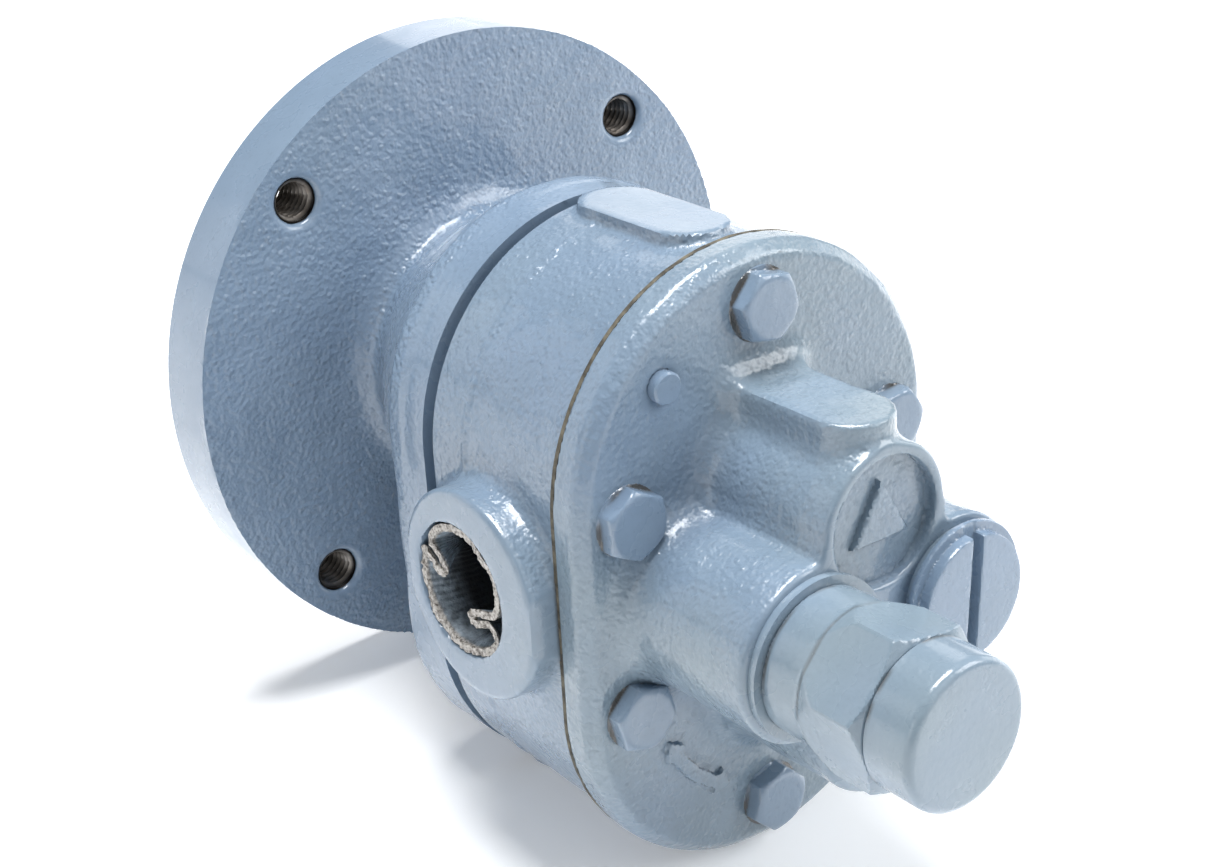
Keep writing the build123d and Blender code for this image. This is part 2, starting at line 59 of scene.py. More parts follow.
def jointPlace(name):
    spot = next(joint["pos_m"] for joint in frame["record"]["behaviour"]["joints"] if joint["name"] == name)
    return np.array(spot) / mm


def mountOf(name):
    return next(mount for mount in frame["record"]["mounts"] if mount["name"] == name)


adapterLow, adapterHigh = boxOf("mount_adapter")
bodyLow, bodyHigh = boxOf("pump_body")
coverLow, coverHigh = boxOf("front_cover")
bonnetLow, bonnetHigh = boxOf("relief_bonnet")
capLow, capHigh = boxOf("relief_cap")
plugLow, plugHigh = boxOf("side_plug")
drivenZ = jointPlace("driven_spin")[2]
valveX, _, valveZ = jointPlace("screw_turn")
flangeRadius = adapterHigh[0]
slabEnd = -adapterLow[1]
slabRadius = drivenZ - adapterLow[2]
portFace = bodyHigh[0]
portRadius = mountOf("left_port")["dims"]["r_mm"]
portDepth = -mountOf("left_port")["pos_m"][1] / mm
flangeHoles = mountOf("flange_bolts")["dims"]
caseEnd = -bodyLow[1]
spigotStart = -bodyHigh[1]
caseRadius = drivenZ - bodyLow[2]
coverStart = -coverHigh[1]
coverRadius = coverHigh[0]
bossEnd = -coverLow[1]
boltReach = boxOf("cover_bolts")[1][0] - 7.2  # from a shaft to its bolts, less half a head
shafts = [(0, 0), (0, drivenZ)]
valves = [(valveX, valveZ), (-valveX, valveZ)]


# numpy tools shared by the pieces

def split(points):
    # across, depth and height of each point
    return points[:, 0], -points[:, 1], points[:, 2]


def fromLine(x, z):
    # distance from the line that joins the two shafts
    return np.hypot(x, z - np.clip(z, drivenZ, 0))


def hashed(ix, iy, iz, seed):
    # repeatable scatter of whole numbers to 0..1: a sine of their weighted sum, keeping its fraction
    wave = np.sin(ix * 127.1 + iy * 311.7 + iz * 74.7 + seed * 53.3) * 43758.5453
    return wave - np.floor(wave)


def grain(points, size, seed):
    # smooth random height in -1..1: scattered values at lattice corners, eased between them
    cell = points / size
    base = np.floor(cell)
    t = cell - base
    t = t * t * (3 - 2 * t)
    total = np.zeros(len(points))
    for dx in (0, 1):
        for dy in (0, 1):
            for dz in (0, 1):
                weight = (t[:, 0] if dx else 1 - t[:, 0]) * (t[:, 1] if dy else 1 - t[:, 1])
                weight = weight * (t[:, 2] if dz else 1 - t[:, 2])
                total += weight * hashed(base[:, 0] + dx, base[:, 1] + dy, base[:, 2] + dz, seed)
    return 2 * total - 1


def ease(value, start, end):
    # 0 before start, 1 after end, with an S-shaped step between
    t = np.clip((value - start) / (end - start), 0, 1)
    return t * t * (3 - 2 * t)


def meet(a, b, soft=0.0):
    # union of two fields; soft rounds the inside corner like a casting fillet
    if soft <= 0:
        return np.minimum(a, b)
    h = np.clip(soft - np.abs(a - b), 0, None) / soft
    return np.minimum(a, b) - h * h * soft * 0.25


def cut(a, b, soft=0.0):
    # field a with field b taken away; soft rounds the edge that is left
    return -meet(-a, b, soft)


def rounded(q0, q1, edge):
    # distance to a solid whose section is the corner of two distances, with the corner rounded
    return np.minimum(np.maximum(q0 + edge, q1 + edge), 0) + np.hypot(np.maximum(q0 + edge, 0),
                                                                      np.maximum(q1 + edge, 0)) - edge


def rod(x, d, z, radius, start, end, cx=0.0, cz=0.0, edge=0.0):
    # cylinder along the pump's axis between two depths
    return rounded(np.hypot(x - cx, z - cz) - radius, np.abs(d - (start + end) / 2) - (end - start) / 2, edge)


def stadium(x, d, z, radius, start, end, edge=0.0):
    # solid with round ends about both shafts: distance to the line between the shafts, less the radius
    across = fromLine(x, z) - radius
    return rounded(across, np.abs(d - (start + end) / 2) - (end - start) / 2, edge)


def brick(a, b, c, low, high, edge=0.0):
    qa = np.abs(a - (low[0] + high[0]) / 2) - (high[0] - low[0]) / 2 + edge
    qb = np.abs(b - (low[1] + high[1]) / 2) - (high[1] - low[1]) / 2 + edge
    qc = np.abs(c - (low[2] + high[2]) / 2) - (high[2] - low[2]) / 2 + edge
    outside = np.sqrt(np.maximum(qa, 0) ** 2 + np.maximum(qb, 0) ** 2 + np.maximum(qc, 0) ** 2)
    return outside + np.minimum(np.maximum(qa, np.maximum(qb, qc)), 0) - edge


def drill(solid, place, bores, spots=((0, 0),)):
    # takes plain bores away: each is (radius, start, end), drilled at every spot
    for radius, start, end in bores:
        for cx, cz in spots:
            solid = cut(solid, rod(*place, radius, start, end, cx, cz))
    return solid


def hexRod(x, d, z, flats, start, end, cx, cz, turn, edge):
    # hexagonal rod: the largest of three distances to pairs of flats, with rounded ends and corners
    across = np.full(np.shape(x), -1e3)
    for k in range(3):
        normal = math.radians(turn + 30 + 60 * k)
        side = np.abs((x - cx) * math.cos(normal) + (z - cz) * math.sin(normal)) - flats / 2
        across = -meet(-across, -side, edge)
    return rounded(across, np.abs(d - (start + end) / 2) - (end - start) / 2, edge)


def skinOf(field, low, high, step):
    # surface of a field: one point in each grid cell that the surface crosses, at the mean of the crossings,
    # joined by a quad round each grid edge that it crosses, then moved onto the field's zero
    axes = [np.arange(low[k] - 1.5 * step, high[k] + 1.5 * step, step) for k in range(3)]
    x, y, z = np.meshgrid(*axes, indexing="ij", sparse=True)
    value = np.broadcast_to(field(x, -y, z), [len(a) for a in axes]).astype(np.float32)
    inside = value < 0
    shape = np.array(value.shape) - 1
    corner = [inside[i:i + shape[0], j:j + shape[1], k:k + shape[2]]
              for i in (0, 1) for j in (0, 1) for k in (0, 1)]
    count = sum(c.astype(np.int8) for c in corner)
    cells = np.argwhere((count > 0) & (count < 8))
    ident = np.full(shape, -1, dtype=np.int64)
    ident[tuple(cells.T)] = np.arange(len(cells))
    total = np.zeros((len(cells), 3))
    hits = np.zeros(len(cells))
    for axis in range(3):
        others = [k for k in range(3) if k != axis]
        for a in (0, 1):
            for b in (0, 1):
                start = cells.copy()
                start[:, others[0]] += a
                start[:, others[1]] += b
                stop = start.copy()
                stop[:, axis] += 1
                v0 = value[tuple(start.T)]
                v1 = value[tuple(stop.T)]
                crossed = (v0 < 0) != (v1 < 0)
                t = np.where(crossed, v0 / np.where(crossed, v0 - v1, 1), 0)
                spot = start.astype(float)
                spot[:, axis] += t
                total += spot * crossed[:, None]
                hits += crossed
    points = total / hits[:, None] * step + np.array([a[0] for a in axes])
    quads = []
    for axis in range(3):
        o1, o2 = (axis + 1) % 3, (axis + 2) % 3
        first = [slice(1, -1)] * 3
        first[axis] = slice(0, -1)
        second = list(first)
        second[axis] = slice(1, None)
        here, there = inside[tuple(first)], inside[tuple(second)]
        edges = np.argwhere(here != there)
        leaving = here[tuple(edges.T)]
        edges[:, o1] += 1
        edges[:, o2] += 1
        ring = []
        for s1, s2 in ((0, 0), (-1, 0), (-1, -1), (0, -1)):
            cell = edges.copy()
            cell[:, o1] += s1
            cell[:, o2] += s2
            ring.append(ident[tuple(cell.T)])
        ring = np.stack(ring, axis=1)
        ring[~leaving] = ring[~leaving][:, ::-1]
        quads.append(ring)
    return settle(field, points, step), np.concatenate(quads)


def slope(field, points, reach):
    # gradient of a field from differences either side of each point
    result = np.zeros_like(points)
    for axis in range(3):
        ahead, behind = points.copy(), points.copy()
        ahead[:, axis] += reach
        behind[:, axis] -= reach
        result[:, axis] = field(*split(ahead)) - field(*split(behind))
    return result / (2 * reach)


def settle(field, points, step):
    # Newton steps along the gradient, no further than half a cell
    start = points.copy()
    for _ in range(3):
        value = field(*split(points))
        g = slope(field, points, 0.04)
        move = g * (value / np.maximum((g * g).sum(1), 0.2))[:, None]
        points = points - np.clip(move, -0.3 * step, 0.3 * step)
        points = start + np.clip(points - start, -0.6 * step, 0.6 * step)
    return points


rimReach = 0.62  # most of a grid cell


def crispRim(points, rimRadius, rimDepth, lowest=0.0):
    # points close to a sharp rim are put on it: their distance from the axis, or from the line down to the
    # lower shaft, becomes the rim's radius and their depth the rim's depth
    x, y, z = points.T
    core = np.clip(z, lowest, 0)
    away = np.hypot(x, z - core)
    near = (np.abs(away - rimRadius) < rimReach) & (np.abs(-y - rimDepth) < rimReach)
    scale = np.where(near, rimRadius / np.maximum(away, 1e-6), 1.0)
    return np.stack([x * scale, np.where(near, -rimDepth, y), core + (z - core) * scale], axis=1)


def addPiece(name, points, faces, material, stands=(), paint=None, crisp=48):
    # points in millimetres, faces as an array of quads, paint as values at the points for the material to
    # read, and stands as the CAD nodes it replaces; every new piece is part of the pump's housing
    mesh = bpy.data.meshes.new(name)
    mesh.vertices.add(len(points))
    mesh.vertices.foreach_set("co", (np.asarray(points) * mm).astype(np.float32).ravel())
    mesh.loops.add(faces.size)
    mesh.loops.foreach_set("vertex_index", faces.ravel().astype(np.int32))
    mesh.polygons.add(len(faces))
    mesh.polygons.foreach_set("loop_start", np.arange(0, faces.size, faces.shape[1], dtype=np.int32))
    mesh.polygons.foreach_set("use_smooth", np.full(len(faces), True))
    mesh.update(calc_edges=True)
    mesh.validate()
    for label, values in (paint or {}).items():
        layer = mesh.attributes.new(label, "FLOAT", "POINT")
        layer.data.foreach_set("value", np.asarray(values, dtype=np.float32))
    mesh.set_sharp_from_angle(angle=math.radians(crisp))
    piece = bpy.data.objects.new(name, mesh)
    bpy.context.scene.collection.objects.link(piece)
    mesh.materials.append(material)
    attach(piece, "pump")
    if stands:
        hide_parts(*stands)
    print("piece:", name, len(faces), "faces")
    return piece


def ringQuads(steps, n):
    # quads of a grid whose rows and columns both close on themselves
    i = np.arange(steps)[:, None]
    j = np.arange(n)[None, :]
    nextI, nextJ = (i + 1) % steps, (j + 1) % n
    quads = np.stack([i * n + j, i * n + nextJ, nextI * n + nextJ, nextI * n + j], axis=2)
    return quads.reshape(-1, 4)


def turnedSkin(profile, steps, cx=0.0, cz=0.0, wobble=None):
    # closed surface of revolution: a closed profile of (radius, depth) carried round the axis;
    # wobble gives a change of radius for each angle and profile point
    profile = np.array(profile, dtype=float)
    angle = np.linspace(0, 2 * np.pi, steps, endpoint=False)[:, None]
    radius = profile[None, :, 0] + (wobble(angle, profile[None, :, 0], profile[None, :, 1]) if wobble else 0)
    x = cx + radius * np.cos(angle)
    z = cz + radius * np.sin(angle)
    y = np.broadcast_to(-profile[None, :, 1], x.shape)
    points = np.stack([x, y, z], axis=2).reshape(-1, 3)
    return points, ringQuads(steps, len(profile))[:, ::-1]


# materials

def node(tree, kind, **sockets):
    made = tree.nodes.new(kind)
    for name, value in sockets.items():
        made.inputs[name.replace("_", " ")].default_value = value
    return made


def linked(tree, source, output, target, socket):
    tree.links.new(source.outputs[output], target.inputs[socket])


def newMaterial(name):
    material = bpy.data.materials.new(name)
    material.use_nodes = True
    tree = material.node_tree
    shader = tree.nodes["Principled BSDF"]
    place = tree.nodes.new("ShaderNodeTexCoord")
    return material, tree, shader, place


def noiseOf(tree, place, scale, detail=3.0, rough=0.55, stretch=None):
    noise = node(tree, "ShaderNodeTexNoise", Scale=scale, Detail=detail, Roughness=rough)
    if stretch:
        squeeze = node(tree, "ShaderNodeMapping", Scale=stretch)
        linked(tree, place, "Object", squeeze, "Vector")
        linked(tree, squeeze, "Vector", noise, "Vector")
    else:
        linked(tree, place, "Object", noise, "Vector")
    return noise


def attributeOf(tree, name):
    layer = tree.nodes.new("ShaderNodeAttribute")
    layer.attribute_name = name
    return layer


def bumpOf(tree, shader, source, strength, distance):
    relief = node(tree, "ShaderNodeBump", Strength=strength, Distance=distance)
    linked(tree, source, "Fac", relief, "Height")
    linked(tree, relief, "Normal", shader, "Normal")


def rampOf(tree, source, output, stops):
    ramp = tree.nodes.new("ShaderNodeValToRGB")
    elements = ramp.color_ramp.elements
    while len(elements) < len(stops):
        elements.new(0.5)
    for element, (position, color) in zip(elements, stops):
        element.position = position
        element.color = (*color, 1.0) if len(color) == 3 else color
    linked(tree, source, output, ramp, "Fac")
    return ramp


def mixOf(tree, kind, factor, first, second):
    # factor, first and second are (node, output) pairs or plain values
    mix = tree.nodes.new("ShaderNodeMix")
    mix.data_type = "RGBA"
    mix.blend_type = kind
    for socket, source in ((mix.inputs[0], factor), (mix.inputs[6], first), (mix.inputs[7], second)):
        if isinstance(source, tuple) and hasattr(source[0], "outputs"):
            tree.links.new(source[0].outputs[source[1]], socket)
        else:
            socket.default_value = source if np.isscalar(source) else (*source, 1.0)
    return mix


def mathOf(tree, kind, first, second):
    done = tree.nodes.new("ShaderNodeMath")
    done.operation = kind
    for socket, source in ((done.inputs[0], first), (done.inputs[1], second)):
        if isinstance(source, tuple):
            tree.links.new(source[0].outputs[source[1]], socket)
        else:
            socket.default_value = source
    return done


enamel = {
    "base": (0.158, 0.226, 0.322),
    "pale": (0.196, 0.272, 0.378),
    "green": (0.215, 0.276, 0.305),
    "pit": (0.090, 0.115, 0.145),
    "roughness": 0.26,
    "coat": 0.6,
    "coatRoughness": 0.09,
    "rust": (0.050, 0.040, 0.026),
    "grain": 820.0,
    "pimples": 560.0,
    "fine": 1500.0,
}


def enamelPaint(name, cast, green, pits=0.2, rust=0.0):
    # gloss enamel: cast is how much of the sand-cast grain shows, green how far the colour leans that way,
    # rust how strongly the piece's own rust marks show through
    material, tree, shader, place = newMaterial(name)
    patch = noiseOf(tree, place, 38.0, 2.0)
    tint = rampOf(tree, patch, "Fac", [(0.25, enamel["base"]), (0.75, enamel["pale"])])
    drift = noiseOf(tree, place, 22.0, 2.0)
    lean = rampOf(tree, drift, "Fac", [(0.25, (0, 0, 0)), (0.75, (green, green, green))])
    body = mixOf(tree, "MIX", (lean, "Color"), (tint, "Color"), enamel["green"])
    speck = noiseOf(tree, place, 900.0, 2.0)
    dots = rampOf(tree, speck, "Fac", [(0.60, (0, 0, 0)), (0.72, (pits, pits, pits))])
    color = mixOf(tree, "MIX", (dots, "Color"), (body, 2), enamel["pit"])
    if rust > 0:
        marks = mathOf(tree, "MULTIPLY", (attributeOf(tree, "rust"), "Fac"), rust)
        color = mixOf(tree, "MIX", (marks, "Value"), (color, 2), enamel["rust"])
    tree.links.new(color.outputs[2], shader.inputs["Base Color"])
    gloss = rampOf(tree, noiseOf(tree, place, 120.0, 3.0), "Fac",
                   [(0.3, (enamel["roughness"] - 0.07,) * 3), (0.7, (enamel["roughness"] + 0.12,) * 3)])
    linked(tree, gloss, "Color", shader, "Roughness")
    shader.inputs["Coat Weight"].default_value = enamel["coat"]
    shader.inputs["Coat Roughness"].default_value = enamel["coatRoughness"]
    height = noiseOf(tree, place, enamel["grain"], 1.0, 0.4)
    fine = noiseOf(tree, place, enamel["fine"], 2.0, 0.5)
    if cast > 0:
        strength = mathOf(tree, "MULTIPLY", (attributeOf(tree, "cast"), "Fac"), cast)
        relief = node(tree, "ShaderNodeBump", Distance=0.0010)
        linked(tree, strength, "Value", relief, "Strength")
        cells = node(tree, "ShaderNodeTexVoronoi", Scale=enamel["pimples"])
        linked(tree, place, "Object", cells, "Vector")
        pimples = rampOf(tree, cells, "Distance", [(0.05, (0.34,) * 3), (0.42, (0, 0, 0))])
        pimples.color_ramp.interpolation = "EASE"
        both = mathOf(tree, "ADD", (height, "Fac"), (pimples, "Color"))
        linked(tree, both, "Value", relief, "Height")
        skin = node(tree, "ShaderNodeBump", Strength=0.10, Distance=0.0003)
        linked(tree, fine, "Fac", skin, "Height")
        linked(tree, relief, "Normal", skin, "Normal")
    else:
        skin = node(tree, "ShaderNodeBump", Strength=0.32, Distance=0.0003)
        linked(tree, height, "Fac", skin, "Height")
    linked(tree, skin, "Normal", shader, "Normal")
    return material


def metal(name, color, dark, roughness, grainScale, stretch=(1, 1, 1), bump=0.05, metallic=1.0):
    # bare metal: base colour with darker cloudy patches, and fine marks stretched along one axis
    material, tree, shader, place = newMaterial(name)
    cloud = noiseOf(tree, place, 60.0, 4.0)
    tint = rampOf(tree, cloud, "Fac", [(0.35, dark), (0.62, color)])
    linked(tree, tint, "Color", shader, "Base Color")
    shader.inputs["Metallic"].default_value = metallic
    marks = noiseOf(tree, place, grainScale, 3.0, 0.6, stretch)
    gloss = rampOf(tree, marks, "Fac", [(0.3, (roughness - 0.08,) * 3), (0.7, (roughness + 0.1,) * 3)])
    linked(tree, gloss, "Color", shader, "Roughness")
    bumpOf(tree, shader, marks, bump, 0.0002)
    return material


def plain(name, color, dark, roughness, scale, bump):
    # rubber, fibre and plastic: mottled colour with a soft grain
    material, tree, shader, place = newMaterial(name)
    cloud = noiseOf(tree, place, scale, 4.0)
    tint = rampOf(tree, cloud, "Fac", [(0.35, dark), (0.65, color)])
    linked(tree, tint, "Color", shader, "Base Color")
    shader.inputs["Roughness"].default_value = roughness
    bumpOf(tree, shader, cloud, bump, 0.0003)
    return material


def threadPaint():
    # cut threads: roots painted near black as painted shade and crests painted brighter as a painted
    # highlight, told apart by the crest attribute
    material, tree, shader, place = newMaterial("cutThread")
    tone = rampOf(tree, attributeOf(tree, "crest"), "Fac",
                  [(0.15, (0.012, 0.011, 0.011)), (0.85, (0.30, 0.28, 0.26))])
    cloud = noiseOf(tree, place, 300.0, 3.0)
    worn = rampOf(tree, cloud, "Fac", [(0.3, (0.55, 0.50, 0.45)), (0.7, (1.0, 1.0, 1.0))])
    color = mixOf(tree, "MULTIPLY", 1.0, (tone, "Color"), (worn, "Color"))
    tree.links.new(color.outputs[2], shader.inputs["Base Color"])
    shader.inputs["Metallic"].default_value = 0.6
    shader.inputs["Roughness"].default_value = 0.36
    return material


def sleevePaint():
    # torn edges are pale and speckled; the wall carries a thin blue-grey overspray and turns near black
    # deeper in the port as painted shade
    material, tree, shader, place = newMaterial("sleevePlastic")
    speck = noiseOf(tree, place, 1500.0, 2.0)
    torn = rampOf(tree, speck, "Fac", [(0.38, (0.13, 0.115, 0.10)), (0.50, (0.40, 0.375, 0.345)),
                                       (0.66, (0.58, 0.555, 0.52))])
    cloud = noiseOf(tree, place, 420.0, 3.0)
    wall = rampOf(tree, cloud, "Fac", [(0.34, (0.12, 0.145, 0.17)), (0.62, (0.33, 0.40, 0.47))])
    # painted shade: the wall's colour mixes towards near black deeper in the port
    shade = mixOf(tree, "MIX", (attributeOf(tree, "paintedDeepShade"), "Fac"), (wall, "Color"), (0.012, 0.013, 0.014))
    color = mixOf(tree, "MIX", (attributeOf(tree, "torn"), "Fac"), (shade, 2), (torn, "Color"))
    tree.links.new(color.outputs[2], shader.inputs["Base Color"])
    shader.inputs["Roughness"].default_value = 0.45
    bumpOf(tree, shader, speck, 0.6, 0.0004)
    return material


flangePaint = enamelPaint("flangeEnamel", 0.6, 0.2)
castPaint = enamelPaint("castEnamel", 0.42, 0.45, rust=0.8)
coverPaint = enamelPaint("coverEnamel", 0.38, 0.8)
boltPaint = enamelPaint("boltEnamel", 0.0, 0.3, rust=0.9)
fittingPaint = enamelPaint("fittingEnamel", 0.0, 1.0, 0.1, 0.75)
threadSteel = threadPaint()
sleevePlastic = sleevePaint()
groundSteel = metal("groundSteel", (0.62, 0.62, 0.63), (0.50, 0.50, 0.52), 0.24, 700.0, (1, 12, 1))
gearSteel = metal("gearSteel", (0.42, 0.42, 0.44), (0.28, 0.28, 0.30), 0.32, 600.0, (1, 0.1, 1))
springSteel = metal("springSteel", (0.34, 0.34, 0.36), (0.20, 0.20, 0.22), 0.30, 800.0)
bronze = metal("bronze", (0.62, 0.42, 0.20), (0.42, 0.27, 0.12), 0.34, 700.0)
fibre = plain("gasketFibre", (0.150, 0.135, 0.098), (0.040, 0.036, 0.028), 0.8, 420.0, 0.3)
rubber = plain("sealRubber", (0.035, 0.035, 0.036), (0.018, 0.018, 0.019), 0.55, 500.0, 0.1)
print("stage: materials made")


# mount adapter: flange, cone neck and slab as one casting

adapter = {
    "step": 0.89,
    "flangeThickness": 15.0,
    "neckRear": 29.5,
    "neckFront": 43.0,
    "neckStart": 18.5,
    "slabStart": slabEnd - 12.7,
    "flangeFillet": 9.0,
    "neckFillet": 1.6,
    "bearingBore": boxOf("bearing_outer_ring")[1][0],
    "bearingEnd": -boxOf("bearing_outer_ring")[0][1],
    "ringGroove": boxOf("bearing_retaining_ring")[1][0] + 0.2,
    "ringDepths": (1.1, 2.4),
    "sealBore": boxOf("seal_case")[1][0],
    "sealEnd": -boxOf("seal_case")[0][1],
    "shaftHole": 8.8,
    "endHole": 8.3,
    "endHoleDepth": 8.5,
    "chamfer": 0.9,
    "boltHole": 4.0,
    "lumps": 0.24,
    "ripple": 0.08,
}


def adapterField(x, d, z):
    # flange disc, cone whose radius grows evenly with depth, and a slab with round ends, joined by fillets;
    # then the tapped holes with their chamfers and the bores are taken away
    a = adapter
    flange = rod(x, d, z, flangeRadius, 0, a["flangeThickness"], edge=0.15)
    reach = np.clip((d - a["neckStart"]) / (a["slabStart"] - a["neckStart"]), 0, 1)
    side = np.hypot(x, z) - (a["neckRear"] + (a["neckFront"] - a["neckRear"]) * reach)
    neck = rounded(0.88 * side, np.abs(d - 28) - 20, 0.5)
    slab = stadium(x, d, z, slabRadius, a["slabStart"], slabEnd, 1.5)
    slab = np.minimum(slab, stadium(x, d, z, slabRadius, a["slabStart"] + 4, slabEnd))
    solid = meet(meet(flange, neck, a["flangeFillet"]), slab, a["neckFillet"])
    solid = np.maximum(solid, d - slabEnd)
    solid = np.maximum(solid, -d)
    for cx, cz in flangeSpots():
        hole = np.hypot(x - cx, z - cz) - flangeHoles["hole_r_mm"]
        mouth = hole - np.maximum(d - a["flangeThickness"] + a["chamfer"], 0)
        solid = cut(solid, np.maximum(mouth, d - a["flangeThickness"] - 3), 0.35)
    through = slabEnd + 5
    bores = [(a["bearingBore"], -5, a["bearingEnd"]), (a["ringGroove"], *a["ringDepths"]),
             (a["sealBore"], 2, a["sealEnd"]), (a["shaftHole"], 30, through)]
    solid = drill(solid, (x, d, z), bores)
    solid = drill(solid, (x, d, z), [(a["endHole"], slabEnd - a["endHoleDepth"], through)], [(0, drivenZ)])
    return drill(solid, (x, d, z), [(a["boltHole"], a["slabStart"] - 5, through)], boltSpots())


def flangeSpots():
    # the four tapped holes, at the corners of a square
    out = flangeHoles["pcd_mm"] / 2 * math.sqrt(0.5)
    return [(sx * out, sz * out) for sx in (-1, 1) for sz in (-1, 1)]


def boltSpots():
    upper = [(0, boltReach), (boltReach, 0), (-boltReach, 0)]
    lower = [(boltReach, drivenZ), (-boltReach, drivenZ), (0, drivenZ - boltReach)]
    return upper + lower


def castSkin(field, points, mask, lumps, ripple, seed):
    # moves cast surfaces in and out by random heights of three sizes, scaled by the mask
    g = slope(field, points, 0.1)
    g = g / np.maximum(np.linalg.norm(g, axis=1), 1e-6)[:, None]
    height = lumps * grain(points, 11.0, seed) + 0.6 * lumps * grain(points, 5.2, seed + 1)
    height = height + ripple * grain(points, 2.6, seed + 2)
    return points + g * (np.minimum(height, 0.55 * lumps + ripple) * mask)[:, None]


def makeAdapter():
    # the cast mask is 1 on the rough front of the flange, the neck and the slab, and 0 in and round the holes
    points, quads = skinOf(adapterField, adapterLow, adapterHigh, adapter["step"])
    x, d, z = split(points)
    radius = np.hypot(x, z)
    ahead = -slope(adapterField, points, 0.3)[:, 1]
    cast = ease(d, 14.0, 14.8) * np.maximum(ease(ahead, 0.45, 0.8), ease(d, 16.0, 17.0))
    inner = 1 - ease(radius, 17.0, 19.5)
    lower = 1 - ease(np.hypot(x, z - drivenZ), 8.0, 10.0)
    bored = np.maximum(inner, lower * ease(d, 44, 46)) + ease(d, slabEnd - 0.5, slabEnd - 0.1)
    for cx, cz in boltSpots():
        bored = np.maximum(bored, (1 - ease(np.hypot(x - cx, z - cz), 4.2, 5.2)) * ease(d, 40, 42))
    for cx, cz in flangeSpots():
        bored = np.maximum(bored, 1 - ease(np.hypot(x - cx, z - cz), 5.6, 6.8))
    cast = cast * np.clip(1 - bored, 0, 1) * (1 - 0.6 * ease(d, 46.5, 48.0))
    points = crispRim(points, flangeRadius, 0.0)
    points = crispRim(points, flangeRadius, adapter["flangeThickness"])
    points = crispRim(points, slabRadius, slabEnd, drivenZ)
    points = castSkin(adapterField, points, cast, adapter["lumps"], adapter["ripple"], 3)
    return addPiece("adapterCasting", points, quads, flangePaint, ["mount_adapter"],
                    paint={"cast": cast})


# pump body

body = {
    "step": 0.81,
    "caseStart": spigotStart + 2.8,
    "spigotRadius": 38.0,
    "padHalf": 8.1,
    "padTop": bodyHigh[2],
    "padEnd": 96.5,
    "portBoss": 21.5,
    "portBossDepth": 79.5,
    "bead": 0.45,
    "beadDepth": 70.0,
    "portLength": 15.0,
    "passage": 7.4,
    "cavityStart": 70.0,
    "cavityRadius": 23.957,
    "bushRadius": boxOf("drive_bush_rear")[1][0],
    "boltHole": 4.2,
    "dowelRadius": 3.2,
    "dowelStart": 84.0,
    "lumps": 0.26,
    "ripple": 0.08,
}


def dowelSpots():
    reach = boxOf("dowel_pins")[1][0] - 3.18  # less the pin's radius
    return [(-reach, reach), (reach, drivenZ - reach)]


def bodyField(x, d, z):
    # case with round ends and a thin broken bead, top pad with round ends, and a round boss at each port;
    # then the gear pockets, bushes, inlet chamber, ports and holes are taken away
    b = body
    broken = 0.6 + 0.4 * np.sin(2.1 * z + 1.4 * x)
    bead = b["bead"] * broken * (1 - ease(np.abs(d - b["beadDepth"]), 0.2, 0.9))
    solid = stadium(x, d, z, caseRadius - b["bead"] + bead, b["caseStart"], caseEnd)
    low = (-b["padHalf"], b["caseStart"], caseRadius - 8)
    high = (b["padHalf"], b["padEnd"], b["padTop"])
    middle = (b["caseStart"] + b["padEnd"]) / 2
    half = (b["padEnd"] - b["caseStart"]) / 2 - b["padHalf"]
    round_ = np.hypot(x, np.maximum(np.abs(d - middle) - half, 0)) - b["padHalf"]
    pad = rounded(round_, np.abs(z - (low[2] + high[2]) / 2) - (high[2] - low[2]) / 2, 0.5)
    solid = meet(solid, pad, 1.2)
    for side in (-1, 1):
        off = np.hypot(d - b["portBossDepth"], z - valveZ)
        boss = rounded(off - b["portBoss"], np.abs(side * x - portFace / 2) - portFace / 2, 1.2)
        solid = meet(solid, boss, 3.5)
        solid = np.maximum(solid, side * x - portFace)
    solid = np.maximum(np.maximum(solid, d - caseEnd), b["caseStart"] - d)
    solid = np.minimum(solid, stadium(x, d, z, b["spigotRadius"], spigotStart, b["caseStart"] + 4))
    pocket = [(b["cavityRadius"], b["cavityStart"], caseEnd + 5),
              (b["bushRadius"], spigotStart - 5, b["cavityStart"] + 2)]
    solid = drill(solid, (x, d, z), pocket, shafts)
    chamber = np.hypot(np.maximum(np.abs(x) + valveX, 0), z - valveZ) - b["passage"]
    solid = cut(solid, np.maximum(chamber, b["cavityStart"] - d))
    for side in (-1, 1):
        off = np.hypot(d - portDepth, z - valveZ)
        mouth = off - portRadius - np.maximum(side * x - portFace + 0.4, 0)
        solid = cut(solid, np.maximum(mouth, portFace - b["portLength"] - side * x), 0.3)
        solid = cut(solid, np.maximum(off - b["passage"], 6 - side * x))
    for cx, cz in boltSpots():
        solid = cut(solid, np.hypot(x - cx, z - cz) - b["boltHole"])
    return drill(solid, (x, d, z), [(b["dowelRadius"], b["dowelStart"], caseEnd + 5)], dowelSpots())


